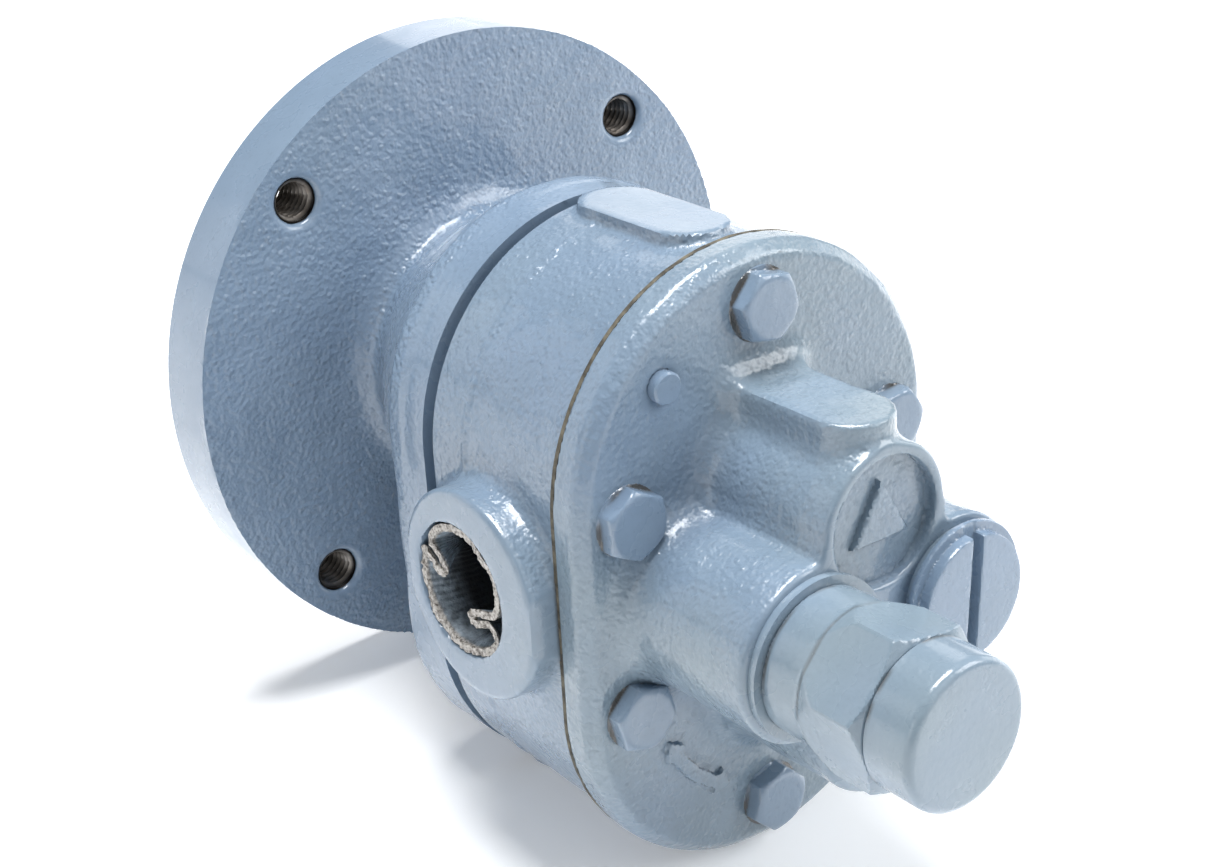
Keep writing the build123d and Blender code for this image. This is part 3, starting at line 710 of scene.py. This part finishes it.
def makeBody():
    # the cast mask is 0 on the spigot, the case's front, the port faces and the bores; rust marks the front
    # edge in streaks
    points, quads = skinOf(bodyField, bodyLow, bodyHigh, body["step"])
    x, d, z = split(points)
    across = fromLine(x, z)
    cast = ease(across, 40.5, 42.0) * ease(d, body["caseStart"] + 0.1, body["caseStart"] + 0.9)
    cast = cast * (1 - ease(d, caseEnd - 0.9, caseEnd - 0.2))
    cast = cast * (1 - ease(z, body["padTop"] - 0.6, body["padTop"] - 0.2) * 0.75)
    off = np.hypot(d - portDepth, z - valveZ)
    turned = ease(np.abs(x), portFace - 1.4, portFace - 0.4)
    bore = (1 - ease(off, portRadius + 0.8, portRadius + 1.8)) * ease(np.abs(x), 20, 24)
    cast = cast * np.clip(1 - 0.8 * turned - bore, 0, 1)
    side = caseRadius - body["bead"]
    points = crispRim(crispRim(points, side, body["caseStart"], drivenZ), side, caseEnd, drivenZ)
    points = castSkin(bodyField, points, cast, body["lumps"], body["ripple"], 11)
    streak = ease(grain(points, 7.0, 71), -0.6, 0.3)
    onSide = 1 - ease(np.abs(across - caseRadius), 0.9, 1.6)
    seam = ease(d, caseEnd - 0.8, caseEnd - 0.3) * onSide * (0.5 + 0.5 * streak)
    return addPiece("bodyCasting", points, quads, castPaint, ["pump_body"],
                    paint={"cast": cast, "rust": seam})


# front cover with its bosses

cover = {
    "step": 0.68,
    "face": 108.15,
    "edge": 3.4,
    "bevel": 1.7,
    "driveBoss": 15.2,
    "drivenBoss": 16.0,
    "reliefBoss": 17.4,
    "plugBoss": 15.3,
    "padHalf": 8.2,
    "padTop": 19.8,
    "padEnd": 140.4,
    "recess": 12.8,
    "recessDepth": 2.6,
    "emblem": 14.0,
    "emblemTop": 1.5,
    "from": 90.0,  # depth behind the cover from which its bores are drilled
    "oil": 8.44,
    "bush": 11.0,
    "bushEnd": 124.4,
    "valveBore": 9.0,
    "valveSeat": 112.0,
    "threadBore": 9.5,
    "threadStart": 127.5,
    "passage": 4.5,
    "boltHole": 4.2,
    "rootFillet": 7.0,
    "webFillet": 4.0,
    "arrowRadius": 28.0,
    "arrowHalfWidth": 1.45,
    "arrowHeight": 1.1,
    "arrowSpan": (-161.0, -112.0),
    "lumps": 0.22,
    "ripple": 0.06,
}


def arrowField(x, d, z):
    # raised arc with a head at each end, a generic mark for the two ways a shaft can turn
    c = cover
    start, end = [math.radians(a) for a in c["arrowSpan"]]
    radius = np.hypot(x, z - drivenZ)
    angle = np.arctan2(z - drivenZ, x)
    middle, half = (start + end) / 2, (end - start) / 2
    along = (np.abs(angle - middle) - half) * c["arrowRadius"]
    arc = np.maximum(np.abs(radius - c["arrowRadius"]) - c["arrowHalfWidth"], along + 3.0)
    head = np.maximum(np.abs(radius - c["arrowRadius"]) * 0.8 + (along + 0.6) * 0.6, -along - 4.6)
    flat = meet(arc, head, 0.8)
    return rounded(flat, d - c["face"] - c["arrowHeight"], 0.25)


def coverField(x, d, z):
    # bevelled plate with round ends, four round bosses and a web and pad blended into each other, then into
    # the plate; a sunk disc with a raised triangle; then the bores are taken away
    c = cover
    across = fromLine(x, z) - coverRadius
    plate = rounded(across, d - c["face"], 0.8)
    slant = (across + d - c["face"]) * 0.707 + c["bevel"]
    plate = -meet(-plate, -slant, 0.6)
    plate = np.maximum(plate, rounded(across, coverStart - d, 0.5))
    drive = rod(x, d, z, c["driveBoss"], 100, bossEnd, edge=1.0)
    driven = rod(x, d, z, c["drivenBoss"], 100, bossEnd, 0, drivenZ, 1.8)
    relief = rod(x, d, z, c["reliefBoss"], 100, bossEnd, valveX, valveZ, 1.1)
    plug = rod(x, d, z, c["plugBoss"], 100, bossEnd, -valveX, valveZ, 1.0)
    web = brick(x, d, z, (-c["driveBoss"] + 0.6, 100, drivenZ), (c["driveBoss"] - 0.6, bossEnd, 0), 1.5)
    cluster = meet(meet(drive, relief, c["webFillet"]), plug, c["webFillet"])
    cluster = meet(meet(cluster, driven, c["webFillet"]), web, 2.5)
    straight = c["padEnd"] - c["padHalf"]
    outline = np.hypot(x, np.maximum(d - straight, 0)) - c["padHalf"]
    pad = rounded(outline, np.abs(z - 10) - (c["padTop"] - 10), 0.9)
    cluster = meet(cluster, pad, 2.2)
    cluster = np.maximum(cluster, d - bossEnd)
    cluster = np.maximum(cluster, coverStart + 2 - d)
    solid = meet(plate, cluster, c["rootFillet"])
    solid = np.maximum(solid, coverStart - d)
    solid = meet(solid, arrowField(x, d, z), 0.3)
    floor_ = bossEnd - c["recessDepth"]
    solid = cut(solid, rod(x, d, z, c["recess"], floor_, bossEnd + 6, edge=0.2), 0.7)
    mark = np.full(np.broadcast(x, d, z).shape, -1e3)
    for k in range(3):
        normal = math.radians(-90 + 120 * k)
        side = x * math.cos(normal) + z * math.sin(normal) - c["emblem"] * math.sqrt(3) / 6
        mark = -meet(-mark, -side, 0.3)
    mark = rounded(mark, np.abs(d - floor_) - c["emblemTop"], 0.25)
    solid = meet(solid, mark, 0.3)
    bearing = [(c["bush"], c["from"], c["bushEnd"]), (c["oil"], c["from"], c["bushEnd"] + 3)]
    valve = [(c["passage"], c["from"], bossEnd), (c["valveBore"], c["valveSeat"], bossEnd),
             (c["threadBore"], c["threadStart"], bossEnd + 5)]
    solid = drill(drill(solid, (x, d, z), bearing, shafts), (x, d, z), valve, valves)
    for cx, cz in boltSpots():
        solid = cut(solid, np.hypot(x - cx, z - cz) - c["boltHole"])
    for cx, cz in dowelSpots():
        solid = cut(solid, np.hypot(x - cx, z - cz) - body["dowelRadius"])
    return solid


def makeCover():
    # the cast mask is 0 behind, in the bores and weaker on the bosses' turned ends
    points, quads = skinOf(coverField, coverLow, coverHigh, cover["step"])
    x, d, z = split(points)
    cast = ease(d, coverStart + 0.3, coverStart + 1.2) * (1 - 0.85 * ease(d, bossEnd - 0.9, bossEnd - 0.2))
    for cx, cz in boltSpots() + dowelSpots():
        cast = cast * ease(np.hypot(x - cx, z - cz), 4.6, 5.6)
    for cx, cz in shafts:
        inside = 1 - ease(np.hypot(x - cx, z - cz), cover["bush"] + 0.2, cover["bush"] + 0.8)
        cast = cast * (1 - inside * (1 - ease(d, 127.0, 127.6)))
    for cx, cz in valves:
        cast = cast * ease(np.hypot(x - cx, z - cz), 9.8, 10.6)
    onFace = (1 - ease(np.abs(d - cover["face"]), 1.6, 2.4)) * (1 - ease(fromLine(x, z), 41, 42))
    points = castSkin(coverField, points, cast * (1 - 0.6 * onFace), cover["lumps"], cover["ripple"], 23)
    return addPiece("coverCasting", points, quads, coverPaint, ["front_cover"],
                    paint={"cast": cast})


# gasket edge that shows as a dark line behind the cover

gasketEdge = {
    "inner": 43.0,
    "outer": coverRadius + 0.04,
    "start": caseEnd - 0.30,
    "end": coverStart + 0.25,
    "steps": 480,
    "fray": 0.12,
}


def makeGasketEdge():
    # outline of two half circles joined by straight sides, swept with a four-cornered section whose outer
    # radius wavers by a little random height
    g = gasketEdge
    turn = np.linspace(0, 2 * np.pi, g["steps"], endpoint=False)
    core = np.where(np.sin(turn) >= 0, 0.0, drivenZ)
    seed = np.stack([40 * np.cos(turn), 0 * turn, 40 * np.sin(turn)], axis=1)
    outer = g["outer"] - g["fray"] * (0.5 + 0.5 * grain(seed, 2.0, 31))
    inner = np.full(g["steps"], g["inner"])
    corners = [(inner, g["start"]), (outer, g["start"]), (outer, g["end"]), (inner, g["end"])]
    rows = [np.stack([r * np.cos(turn), 0 * turn - depth, core + r * np.sin(turn)], axis=1)
            for r, depth in corners]
    points = np.stack(rows, axis=1).reshape(-1, 3)
    return addPiece("gasketEdge", points, ringQuads(g["steps"], 4), fibre)


# cover bolts

bolts = {
    "step": 0.42,
    "flats": 12.7,
    "height": 4.0,
    "turns": [49, 5, 33, 28, 44, 17],
    "buildup": [1.3, 0.7, 0.75, 0.6, 0.7, 0.6],
    "shank": 3.9,
    "tip": 46.5,
}


def makeBolts():
    # head: hexagonal rod cut by a cone at its corners and blended into a low skirt of paint; shank: a turned
    # profile; rust lies in a thin band round the foot
    allPoints, allQuads, allRust, total = [], [], [], 0
    for index, (cx, cz) in enumerate(boltSpots()):
        face = cover["face"]
        top = face + bolts["height"]

        def headField(x, d, z):
            head = hexRod(x, d, z, bolts["flats"], face - 1.2, top, cx, cz, bolts["turns"][index], 0.2)
            cone = (np.hypot(x - cx, z - cz) - 0.47 * bolts["flats"]) * 0.5 + (d - top) * 0.866
            head = -meet(-head, -cone, 0.4)
            skirt = rod(x, d, z, 6.9 + 0.5 * bolts["buildup"][index], face - 1.2, face + 0.2, cx, cz, 0.2)
            return meet(head, skirt, 0.35)

        low = np.array([cx - 9, -top - 0.5, cz - 9])
        high = np.array([cx + 9, -face + 1.2, cz + 9])
        points, quads = skinOf(headField, low, high, bolts["step"])
        g = slope(headField, points, 0.1)
        lump = grain(points, 3.2, 40 + index) * 0.07 + grain(points, 1.4, 50 + index) * 0.03
        points = points + g * (lump * bolts["buildup"][index])[:, None]
        away = np.hypot(points[:, 0] - cx, points[:, 2] - cz)
        crevice = 1 - ease(np.abs(-points[:, 1] - face - 0.35), 0.2, 0.5)
        streak = ease(grain(points, 5.0, 70 + index), -0.5, 0.4)
        allRust.append(crevice * streak * ease(away, 5.5, 6.2))
        shank, tip = bolts["shank"], bolts["tip"]
        stem, stemQuads = turnedSkin([(0.01, face), (shank, face), (shank, tip + 0.8), (shank - 0.8, tip),
                                      (0.01, tip)], 32, cx, cz)
        allRust.append(np.zeros(len(stem)))
        for p, q in ((points, quads), (stem, stemQuads)):
            allPoints.append(p)
            allQuads.append(q + total)
            total += len(p)
    return addPiece("coverBolts", np.concatenate(allPoints), np.concatenate(allQuads), boltPaint,
                    ["cover_bolts"], paint={"rust": np.concatenate(allRust)}, crisp=24)


# relief valve bonnet and cap

bonnet = {
    "step": 0.5,
    "rear": bossEnd + 1.6,
    "coneStart": 151.4,
    "coneEnd": 157.7,
    "hexEnd": 167.7,
    "turn": 49,
    "radius": 14.29,
    "male": 9.4,
    "maleStart": 129.5,
    "spigot": 10.6,
    "bore": 7.5,
    "wall": (158.0, 163.4),
    "screw": 3.95,
    "nutRecess": 8.2,
}


def bonnetField(x, d, z):
    # round barrel and a hexagon of the same width across flats, faded out behind by a cone and in front by
    # a chamfer, with a threaded neck and a front spigot, less the spring's bore and the screw's hole
    b = bonnet
    away = np.hypot(x - valveX, z - valveZ)
    corner = 2 * b["radius"] / math.sqrt(3)
    barrel = rod(x, d, z, b["radius"], b["rear"], b["hexEnd"] - 2, valveX, valveZ, 0.35)
    hexed = hexRod(x, d, z, 2 * b["radius"], b["coneStart"] - 1, b["hexEnd"], valveX, valveZ, b["turn"], 0.25)
    run = (corner - b["radius"]) / (b["coneEnd"] - b["coneStart"])
    rear = (away - b["radius"] - run * (d - b["coneStart"])) * 0.95
    front = (away - b["radius"] + 0.3) * 0.5 + (d - b["hexEnd"]) * 0.866
    hexed = np.maximum(np.maximum(hexed, rear), front)
    solid = np.minimum(barrel, hexed)
    solid = meet(solid, rod(x, d, z, b["male"], b["maleStart"], b["rear"] + 1, valveX, valveZ, 0.3))
    solid = meet(solid, rod(x, d, z, b["spigot"], b["hexEnd"] - 1, -bonnetLow[1], valveX, valveZ, 0.3))
    bores = [(b["bore"], 120, b["wall"][0]), (b["screw"], 150, 180), (b["nutRecess"], b["wall"][1], 180)]
    return drill(solid, (x, d, z), bores, valves[:1])


def makeBonnet():
    points, quads = skinOf(bonnetField, bonnetLow, bonnetHigh, bonnet["step"])
    g = slope(bonnetField, points, 0.1)
    away = np.hypot(points[:, 0] - valveX, points[:, 2] - valveZ)
    outer = ease(away, 12.0, 13.5)
    points = points + g * (grain(points, 5.0, 61) * 0.06 * outer)[:, None]
    d = -points[:, 1]
    streak = ease(grain(points, 4.0, 63), -0.35, 0.5)
    seams = np.maximum(1 - ease(np.abs(d - bonnet["rear"] - 0.5), 0.15, 0.65),
                       0.8 * (1 - ease(np.abs(d - bonnet["coneStart"] - 1), 0.1, 0.5)))
    return addPiece("reliefBonnet", points, quads, fittingPaint, ["relief_bonnet"],
                    paint={"rust": seams * streak * outer}, crisp=24)


cap = {
    "outer": 14.29,
    "start": -capHigh[1],
    "end": -capLow[1],
    "edge": 1.7,
    "thread": 10.65,
    "step": 171.9,
    "cavity": 9.4,
    "roof": 175.6,
    "steps": 160,
    "dent": 0.07,
}


def makeCap():
    # turned profile: straight side, quarter-circle edge, flat face and stepped cavity
    c = cap
    bend = np.linspace(0, np.pi / 2, 9)
    rim = [(c["outer"] - c["edge"] + c["edge"] * math.cos(t), c["end"] - c["edge"] + c["edge"] * math.sin(t))
           for t in bend]
    faceRings = [(r, c["end"]) for r in np.linspace(c["outer"] - c["edge"] - 0.9, 0.01, 14)]
    sides = np.linspace(c["start"] + 0.35, c["end"] - c["edge"] - 0.4, 10)
    sideRings = [(c["outer"] - 0.35, c["start"])] + [(c["outer"], s) for s in sides]
    inner = [(0.01, c["roof"]), (c["cavity"], c["roof"]), (c["cavity"], c["step"]), (c["thread"], c["step"]),
             (c["thread"], c["start"])]

    def wobble(angle, radius, depth):
        # slow waves round the cap, none at its centre or inside
        outerOnly = ease(radius, 5.0, 12.0) * ease(depth, c["start"] + 0.3, c["start"] + 1.5)
        wave = np.sin(3 * angle + 0.35 * depth) + 0.6 * np.sin(7 * angle - 0.6 * depth)
        return -c["dent"] * (0.5 + 0.3 * wave) * outerOnly * (depth > c["start"] + 0.2) * (radius > 11)

    points, quads = turnedSkin(sideRings + rim + faceRings + inner, c["steps"], valveX, valveZ, wobble)
    edge = 1 - ease(-points[:, 1] - c["start"], 0.3, 1.1)
    marks = edge * ease(grain(points, 3.5, 67), -0.2, 0.5)
    return addPiece("reliefCap", points, quads, fittingPaint, ["relief_cap"],
                    paint={"rust": marks}, crisp=30)


# slotted side plug

plug = {
    "step": 0.45,
    "flange": plugHigh[0] + valveX,
    "flangeEnd": bossEnd + 2.8,
    "head": 12.8,
    "under": bossEnd + 1.6,
    "male": 9.4,
    "start": 129.5,
    "slotWidth": 2.7,
    "slotDepth": 2.6,
    "slotTurn": math.radians(-3.4),
}


def plugField(x, d, z):
    # three round rods, the head, its flange and the threaded neck, less a straight slot
    p = plug
    end = -plugLow[1]
    solid = rod(x, d, z, p["head"], p["under"], end, -valveX, valveZ, 0.45)
    solid = np.minimum(solid, rod(x, d, z, p["flange"], p["under"], p["flangeEnd"], -valveX, valveZ, 0.3))
    solid = meet(solid, rod(x, d, z, p["male"], p["start"], p["under"] + 1, -valveX, valveZ, 0.4))
    across = (x + valveX) * math.cos(p["slotTurn"]) + (z - valveZ) * math.sin(p["slotTurn"])
    slot = np.maximum(np.abs(across) - p["slotWidth"] / 2, end - p["slotDepth"] - d)
    return cut(solid, slot, 0.35)


def makePlug():
    points, quads = skinOf(plugField, plugLow, plugHigh, plug["step"])
    return addPiece("slottedPlug", points, quads, boltPaint, ["side_plug"], crisp=24)


# threads in the flange holes and the ports

thread = {
    "flangePitch": 1.5875,
    "flangeDepth": 0.95,
    "portPitch": 1.814,
    "portDepth": 0.9,
    "wall": 0.05,
    "turnSteps": 72,
    "stepsPerPitch": 8,
}


def threadSkin(radius, depth, pitch, start, end):
    # inner wall: a triangular wave of height depth that shifts by one pitch in each turn, fading at both
    # ends; the outer wall is a plain tube just inside the hole, so the sleeve is closed
    rows = int((end - start) / pitch * thread["stepsPerPitch"]) + 1
    along = np.linspace(start, end, rows)[None, :]
    angle = np.linspace(0, 2 * np.pi, thread["turnSteps"], endpoint=False)[:, None]
    phase = along / pitch - angle / (2 * np.pi)
    wave = np.abs((phase % 1) * 2 - 1)
    fade = ease(along, start, start + 0.6 * pitch) * (1 - ease(along, end - 0.6 * pitch, end))
    inner = radius - 2 * thread["wall"] - depth * np.clip(1.15 * wave - 0.05, 0, 1) * fade
    outer = np.full((thread["turnSteps"], rows), radius - thread["wall"])
    r = np.concatenate([inner, outer[:, ::-1]], axis=1)
    y = np.concatenate([along, along[:, ::-1]], axis=1) + np.zeros_like(r)
    # crest drives the painted highlight on the thread's crests and the painted shade in its roots
    crest = np.concatenate([wave * fade, 0 * wave], axis=1).ravel()
    return r, y, angle, ringQuads(*r.shape), crest


def makeFlangeThreads():
    # one thread, repeated at the four holes
    r, y, angle, quads, crest = threadSkin(flangeHoles["hole_r_mm"], thread["flangeDepth"],
                                           thread["flangePitch"], 0.4, 14.0)
    points = np.concatenate([np.stack([cx + r * np.cos(angle), -y, cz + r * np.sin(angle)], axis=2)
                             for cx, cz in flangeSpots()]).reshape(-1, 3)
    faces = np.concatenate([quads[:, ::-1] + k * r.size for k in range(4)])
    return addPiece("flangeThreads", points, faces, threadSteel,
                    paint={"crest": np.tile(crest, 4)})


def makePortThreads():
    # the same thread on both sides, mirrored across the middle with its faces turned round
    r, x, angle, quads, crest = threadSkin(portRadius, thread["portDepth"], thread["portPitch"],
                                           portFace - 14.8, portFace - 3.0)
    points = np.concatenate([np.stack([side * x, -portDepth + r * np.cos(angle), valveZ + r * np.sin(angle)],
                                      axis=2) for side in (-1, 1)]).reshape(-1, 3)
    faces = np.concatenate([quads, quads[:, ::-1] + r.size])
    return addPiece("portThreads", points, faces, threadSteel,
                    paint={"crest": np.tile(crest, 2)})


# torn masking sleeve in the left port

liner = {
    "half": 0.75,
    "depth": 13.2,
    "backRadius": 11.3,
    "steps": 520,
    "rows": 30,
    # the mouth's edge as (towards the front, up, angle at the back): hugs the bore, with two folds inward
    "rim": [(-9.4, 8.0, 141), (-6.4, 10.9, 122), (-2.6, 12.5, 103), (0.9, 12.8, 87), (4.7, 12.0, 70),
            (7.6, 10.2, 54), (10.2, 7.6, 38), (11.9, 4.3, 21), (12.1, 1.0, 5), (10.9, -1.4, -6),
            (7.8, -2.6, -13), (4.4, -3.2, -20), (2.6, -4.4, -27), (3.6, -5.8, -33), (6.2, -5.0, -38),
            (9.2, -4.6, -43), (10.9, -6.3, -49), (10.2, -8.6, -57), (7.6, -10.7, -68),
            (3.9, -12.2, -80), (-0.2, -12.8, -93), (-4.6, -12.0, -108), (-8.6, -9.7, -126),
            (-11.4, -6.2, -145), (-12.7, -2.0, -163), (-12.8, 1.8, -179), (-11.9, 4.6, -192),
            (-10.2, 3.9, -197), (-8.4, 1.9, -200), (-6.0, 1.2, -203), (-5.2, 2.6, -206),
            (-7.0, 4.4, -210), (-8.6, 6.0, -214)],
}


def smoothLoop(values, steps):
    # closed curve through the values: a cubic between neighbours with slopes from the points either side
    n = len(values)
    t = np.linspace(0, n, steps, endpoint=False)
    k = np.floor(t).astype(int)
    f = (t - k)[:, None]
    p0, p1, p2, p3 = [values[(k + o) % n] for o in (-1, 0, 1, 2)]
    return p1 + 0.5 * f * (p2 - p0 + f * (2 * p0 - 5 * p1 + 4 * p2 - p3 + f * (3 * (p1 - p2) + p3 - p0)))


def makeLiner():
    # each row lies between the rim's curve and a plain circle at the back, by the square of its reach, so
    # the folds are strongest at the mouth; the edge is sawn unevenly and the wall has fine ribs
    rim = np.array(liner["rim"], dtype=float)
    turn = np.radians(rim[:, 2])
    edge = smoothLoop(rim[:, :2], liner["steps"])
    back = smoothLoop(np.stack([np.cos(turn), np.sin(turn)], axis=1), liner["steps"])
    back = back / np.linalg.norm(back, axis=1)[:, None]
    along = np.roll(edge, -1, axis=0) - np.roll(edge, 1, axis=0)
    outward = np.stack([along[:, 1], -along[:, 0]], axis=1) / np.linalg.norm(along, axis=1)[:, None]
    twist = edge - np.roll(edge, 8, axis=0)[:, ::-1] * [1, -1]
    outward = outward * np.sign((outward * twist).sum(1).mean())
    seed = np.concatenate([edge, 0 * edge[:, :1]], axis=1)
    tooth = 0.28 * grain(seed, 0.75, 81) + 0.30 * grain(seed, 2.6, 82)
    v = np.linspace(0, 1, liner["rows"])[None, :, None]
    rib = 0.10 * np.sin(np.linspace(0, 2 * np.pi * 90, liner["steps"], endpoint=False))[:, None, None]
    walls = []
    for offset in (liner["half"], -liner["half"]):
        mouth = (edge + outward * offset)[:, None, :]
        base = (back * (liner["backRadius"] + offset))[:, None, :]
        blend = v ** 2.2
        flat = base + (mouth - base) * blend + outward[:, None, :] * rib * (offset < 0)
        reach = portFace - liner["depth"] + (liner["depth"] - 0.5 + tooth[:, None, None]) * v
        walls.append(np.concatenate([-reach, -portDepth - flat[:, :, :1], valveZ + flat[:, :, 1:]], axis=2))
    p = np.concatenate([walls[0], walls[1][:, ::-1]], axis=1)
    quads = ringQuads(*p.shape[:2])
    points = p.reshape(-1, 3)
    points = points + 0.07 * np.stack([grain(points, 0.7, 90 + k) for k in range(3)], axis=1)
    atEdge = ease(-points[:, 0], portFace - 1.5, portFace - 0.9)
    # painted shade: 0 at the mouth, rising to 1 deeper in the port, where the wall is painted near black
    paintedDeepShade = 1 - ease(-points[:, 0], portFace - 9.0, portFace - 2.0)
    return addPiece("portSleeve", points, quads, sleevePlastic,
                    paint={"torn": atEdge, "paintedDeepShade": paintedDeepShade})



makeAdapter()
makeBody()
makeCover()
makeGasketEdge()
print("stage: castings made")
makeBolts()
makeBonnet()
makeCap()
makePlug()
print("stage: fittings made")
makeFlangeThreads()
makePortThreads()
makeLiner()
print("stage: threads and sleeve made")


# finishes on the CAD nodes that stay

finishes = {
    fibre: ["cover_gasket", "adapter_gasket"],
    boltPaint: ["dowel_pins"],
    fittingPaint: ["relief_washer", "side_plug_washer"],
    groundSteel: ["drive_shaft", "driven_shaft", "drive_gear_key", "bearing_inner_ring",
                  "bearing_outer_ring", "bearing_balls", "bearing_shield", "relief_piston", "spring_seat",
                  "adjusting_screw", "jam_nut", "seal_case"],
    gearSteel: ["drive_gear", "driven_gear"],
    springSteel: ["relief_spring", "garter_spring", "bearing_retaining_ring", "shaft_retaining_ring"],
    bronze: ["drive_bush_front", "drive_bush_rear", "driven_bush_front", "driven_bush_rear"],
    rubber: ["seal_lip"],
}
for material, names in finishes.items():
    for name in names:
        part = frame["nodes"][name]
        part.data.materials.clear()
        part.data.materials.append(material)


# floor, light and camera

studio = {
    "azimuth": -37.041,
    "elevation": 24.026,
    "roll": -3.134,
    "distance": 0.41698,
    "aim": (-0.011863, -0.075, 0.000146),
    "lens": 61.82,
    "floorColor": (0.96, 0.97, 0.98),
    "floorGlow": 0.22,
    "floorSize": 6.0,
    "glowNear": 0.35,
    "glowFar": 1.3,
    "worldSeen": 1.0,
    "worldLight": 0.14,
    "lampSize": 0.5,
    "lampReach": 0.95,
}


def makeFloor():
    # plane that touches both the rim's edge at the mounting face and the lower end of the cover
    rimLow = -flangeRadius * mm
    coverFront = -(cover["face"] - cover["edge"]) * mm
    coverBottom = (drivenZ - coverRadius) * mm
    lean = (coverBottom - rimLow) / coverFront
    size = studio["floorSize"]
    corners = [(-size, -size), (size, -size), (size, size), (-size, size)]
    points = [(x, y, rimLow + lean * y - 0.0006) for x, y in corners]
    mesh = bpy.data.meshes.new("floor")
    mesh.from_pydata(points, [], [(0, 1, 2, 3)])
    floor = bpy.data.objects.new("floor", mesh)
    bpy.context.scene.collection.objects.link(floor)
    material = bpy.data.materials.new("floorPaper")
    material.use_nodes = True
    shader = material.node_tree.nodes["Principled BSDF"]
    shader.inputs["Base Color"].default_value = (*studio["floorColor"], 1)
    shader.inputs["Roughness"].default_value = 0.7
    shader.inputs["Emission Color"].default_value = (0.97, 0.98, 1.0, 1)
    # the glow rises with distance from the pump, so the far floor is as light as the wall behind it
    tree = material.node_tree
    place = tree.nodes.new("ShaderNodeTexCoord")
    away = tree.nodes.new("ShaderNodeVectorMath")
    away.operation = "LENGTH"
    tree.links.new(place.outputs["Object"], away.inputs[0])
    glow = node(tree, "ShaderNodeMapRange", **{"From Min": studio["glowNear"], "From Max": studio["glowFar"],
                                               "To Min": studio["floorGlow"], "To Max": 1.0})
    glow.interpolation_type = "SMOOTHSTEP"
    tree.links.new(away.outputs["Value"], glow.inputs["Value"])
    tree.links.new(glow.outputs["Result"], shader.inputs["Emission Strength"])
    mesh.materials.append(material)


def makeWorld():
    world = bpy.data.worlds.new("studio")
    bpy.context.scene.world = world
    world.use_nodes = True
    tree = world.node_tree
    back = tree.nodes["Background"]
    back.inputs["Color"].default_value = (1, 1, 1, 1)
    path = tree.nodes.new("ShaderNodeLightPath")
    strength = tree.nodes.new("ShaderNodeMapRange")
    strength.inputs["To Min"].default_value = studio["worldLight"]
    strength.inputs["To Max"].default_value = studio["worldSeen"]
    tree.links.new(path.outputs["Is Camera Ray"], strength.inputs["Value"])
    tree.links.new(strength.outputs["Result"], back.inputs["Strength"])


lamps = {
    "overhead": {"way": (0.0, 0.0, 1.0), "power": 15.0},
    "rightFront": {"way": (0.6, -0.6, 0.5), "power": 4.6},
    "right": {"way": (1.0, -0.1, 0.15), "power": 1.4},
    "leftBack": {"way": (-0.6, 0.7, 0.4), "power": 0.7},
    "left": {"way": (-1.0, -0.2, 0.2), "power": 1.0},
    "frontHigh": {"way": (0.0, -0.8, 0.6), "power": 0.8},
    "front": {"way": (0.2, -1.0, 0.1), "power": 0.5},
    "rightBack": {"way": (0.6, 0.7, 0.4), "power": 1.0},
}


def makeLamps():
    for name, lamp in lamps.items():
        light = bpy.data.lights.new(name, "AREA")
        light.size = studio["lampSize"]
        light.energy = lamp["power"]
        holder = bpy.data.objects.new(name, light)
        bpy.context.scene.collection.objects.link(holder)
        reach = Vector(lamp["way"]).normalized() * studio["lampReach"]
        holder.location = Vector(studio["aim"]) + reach
        holder.rotation_euler = (-reach).to_track_quat("-Z", "Y").to_euler()


def makeCamera():
    azimuth, elevation, roll = [math.radians(studio[k]) for k in ("azimuth", "elevation", "roll")]
    forward = np.array([-math.sin(azimuth) * math.cos(elevation), math.cos(azimuth) * math.cos(elevation),
                        -math.sin(elevation)])
    right = np.array([math.cos(azimuth), math.sin(azimuth), 0.0])
    up = np.cross(right, forward)
    right, up = (math.cos(roll) * right + math.sin(roll) * up, math.cos(roll) * up - math.sin(roll) * right)
    place = np.array(studio["aim"]) - forward * studio["distance"]
    camera = bpy.data.cameras.new("camera")
    camera.lens = studio["lens"]
    camera.sensor_width = 36
    camera.clip_start = 0.01
    holder = bpy.data.objects.new("camera", camera)
    bpy.context.scene.collection.objects.link(holder)
    columns = np.stack([right, up, -forward, place], axis=1)
    holder.matrix_world = Matrix([list(row) for row in columns] + [[0, 0, 0, 1]])
    bpy.context.scene.camera = holder


makeFloor()
makeWorld()
makeLamps()
makeCamera()
bpy.context.scene.view_settings.view_transform = "Standard"
print("stage: studio made")
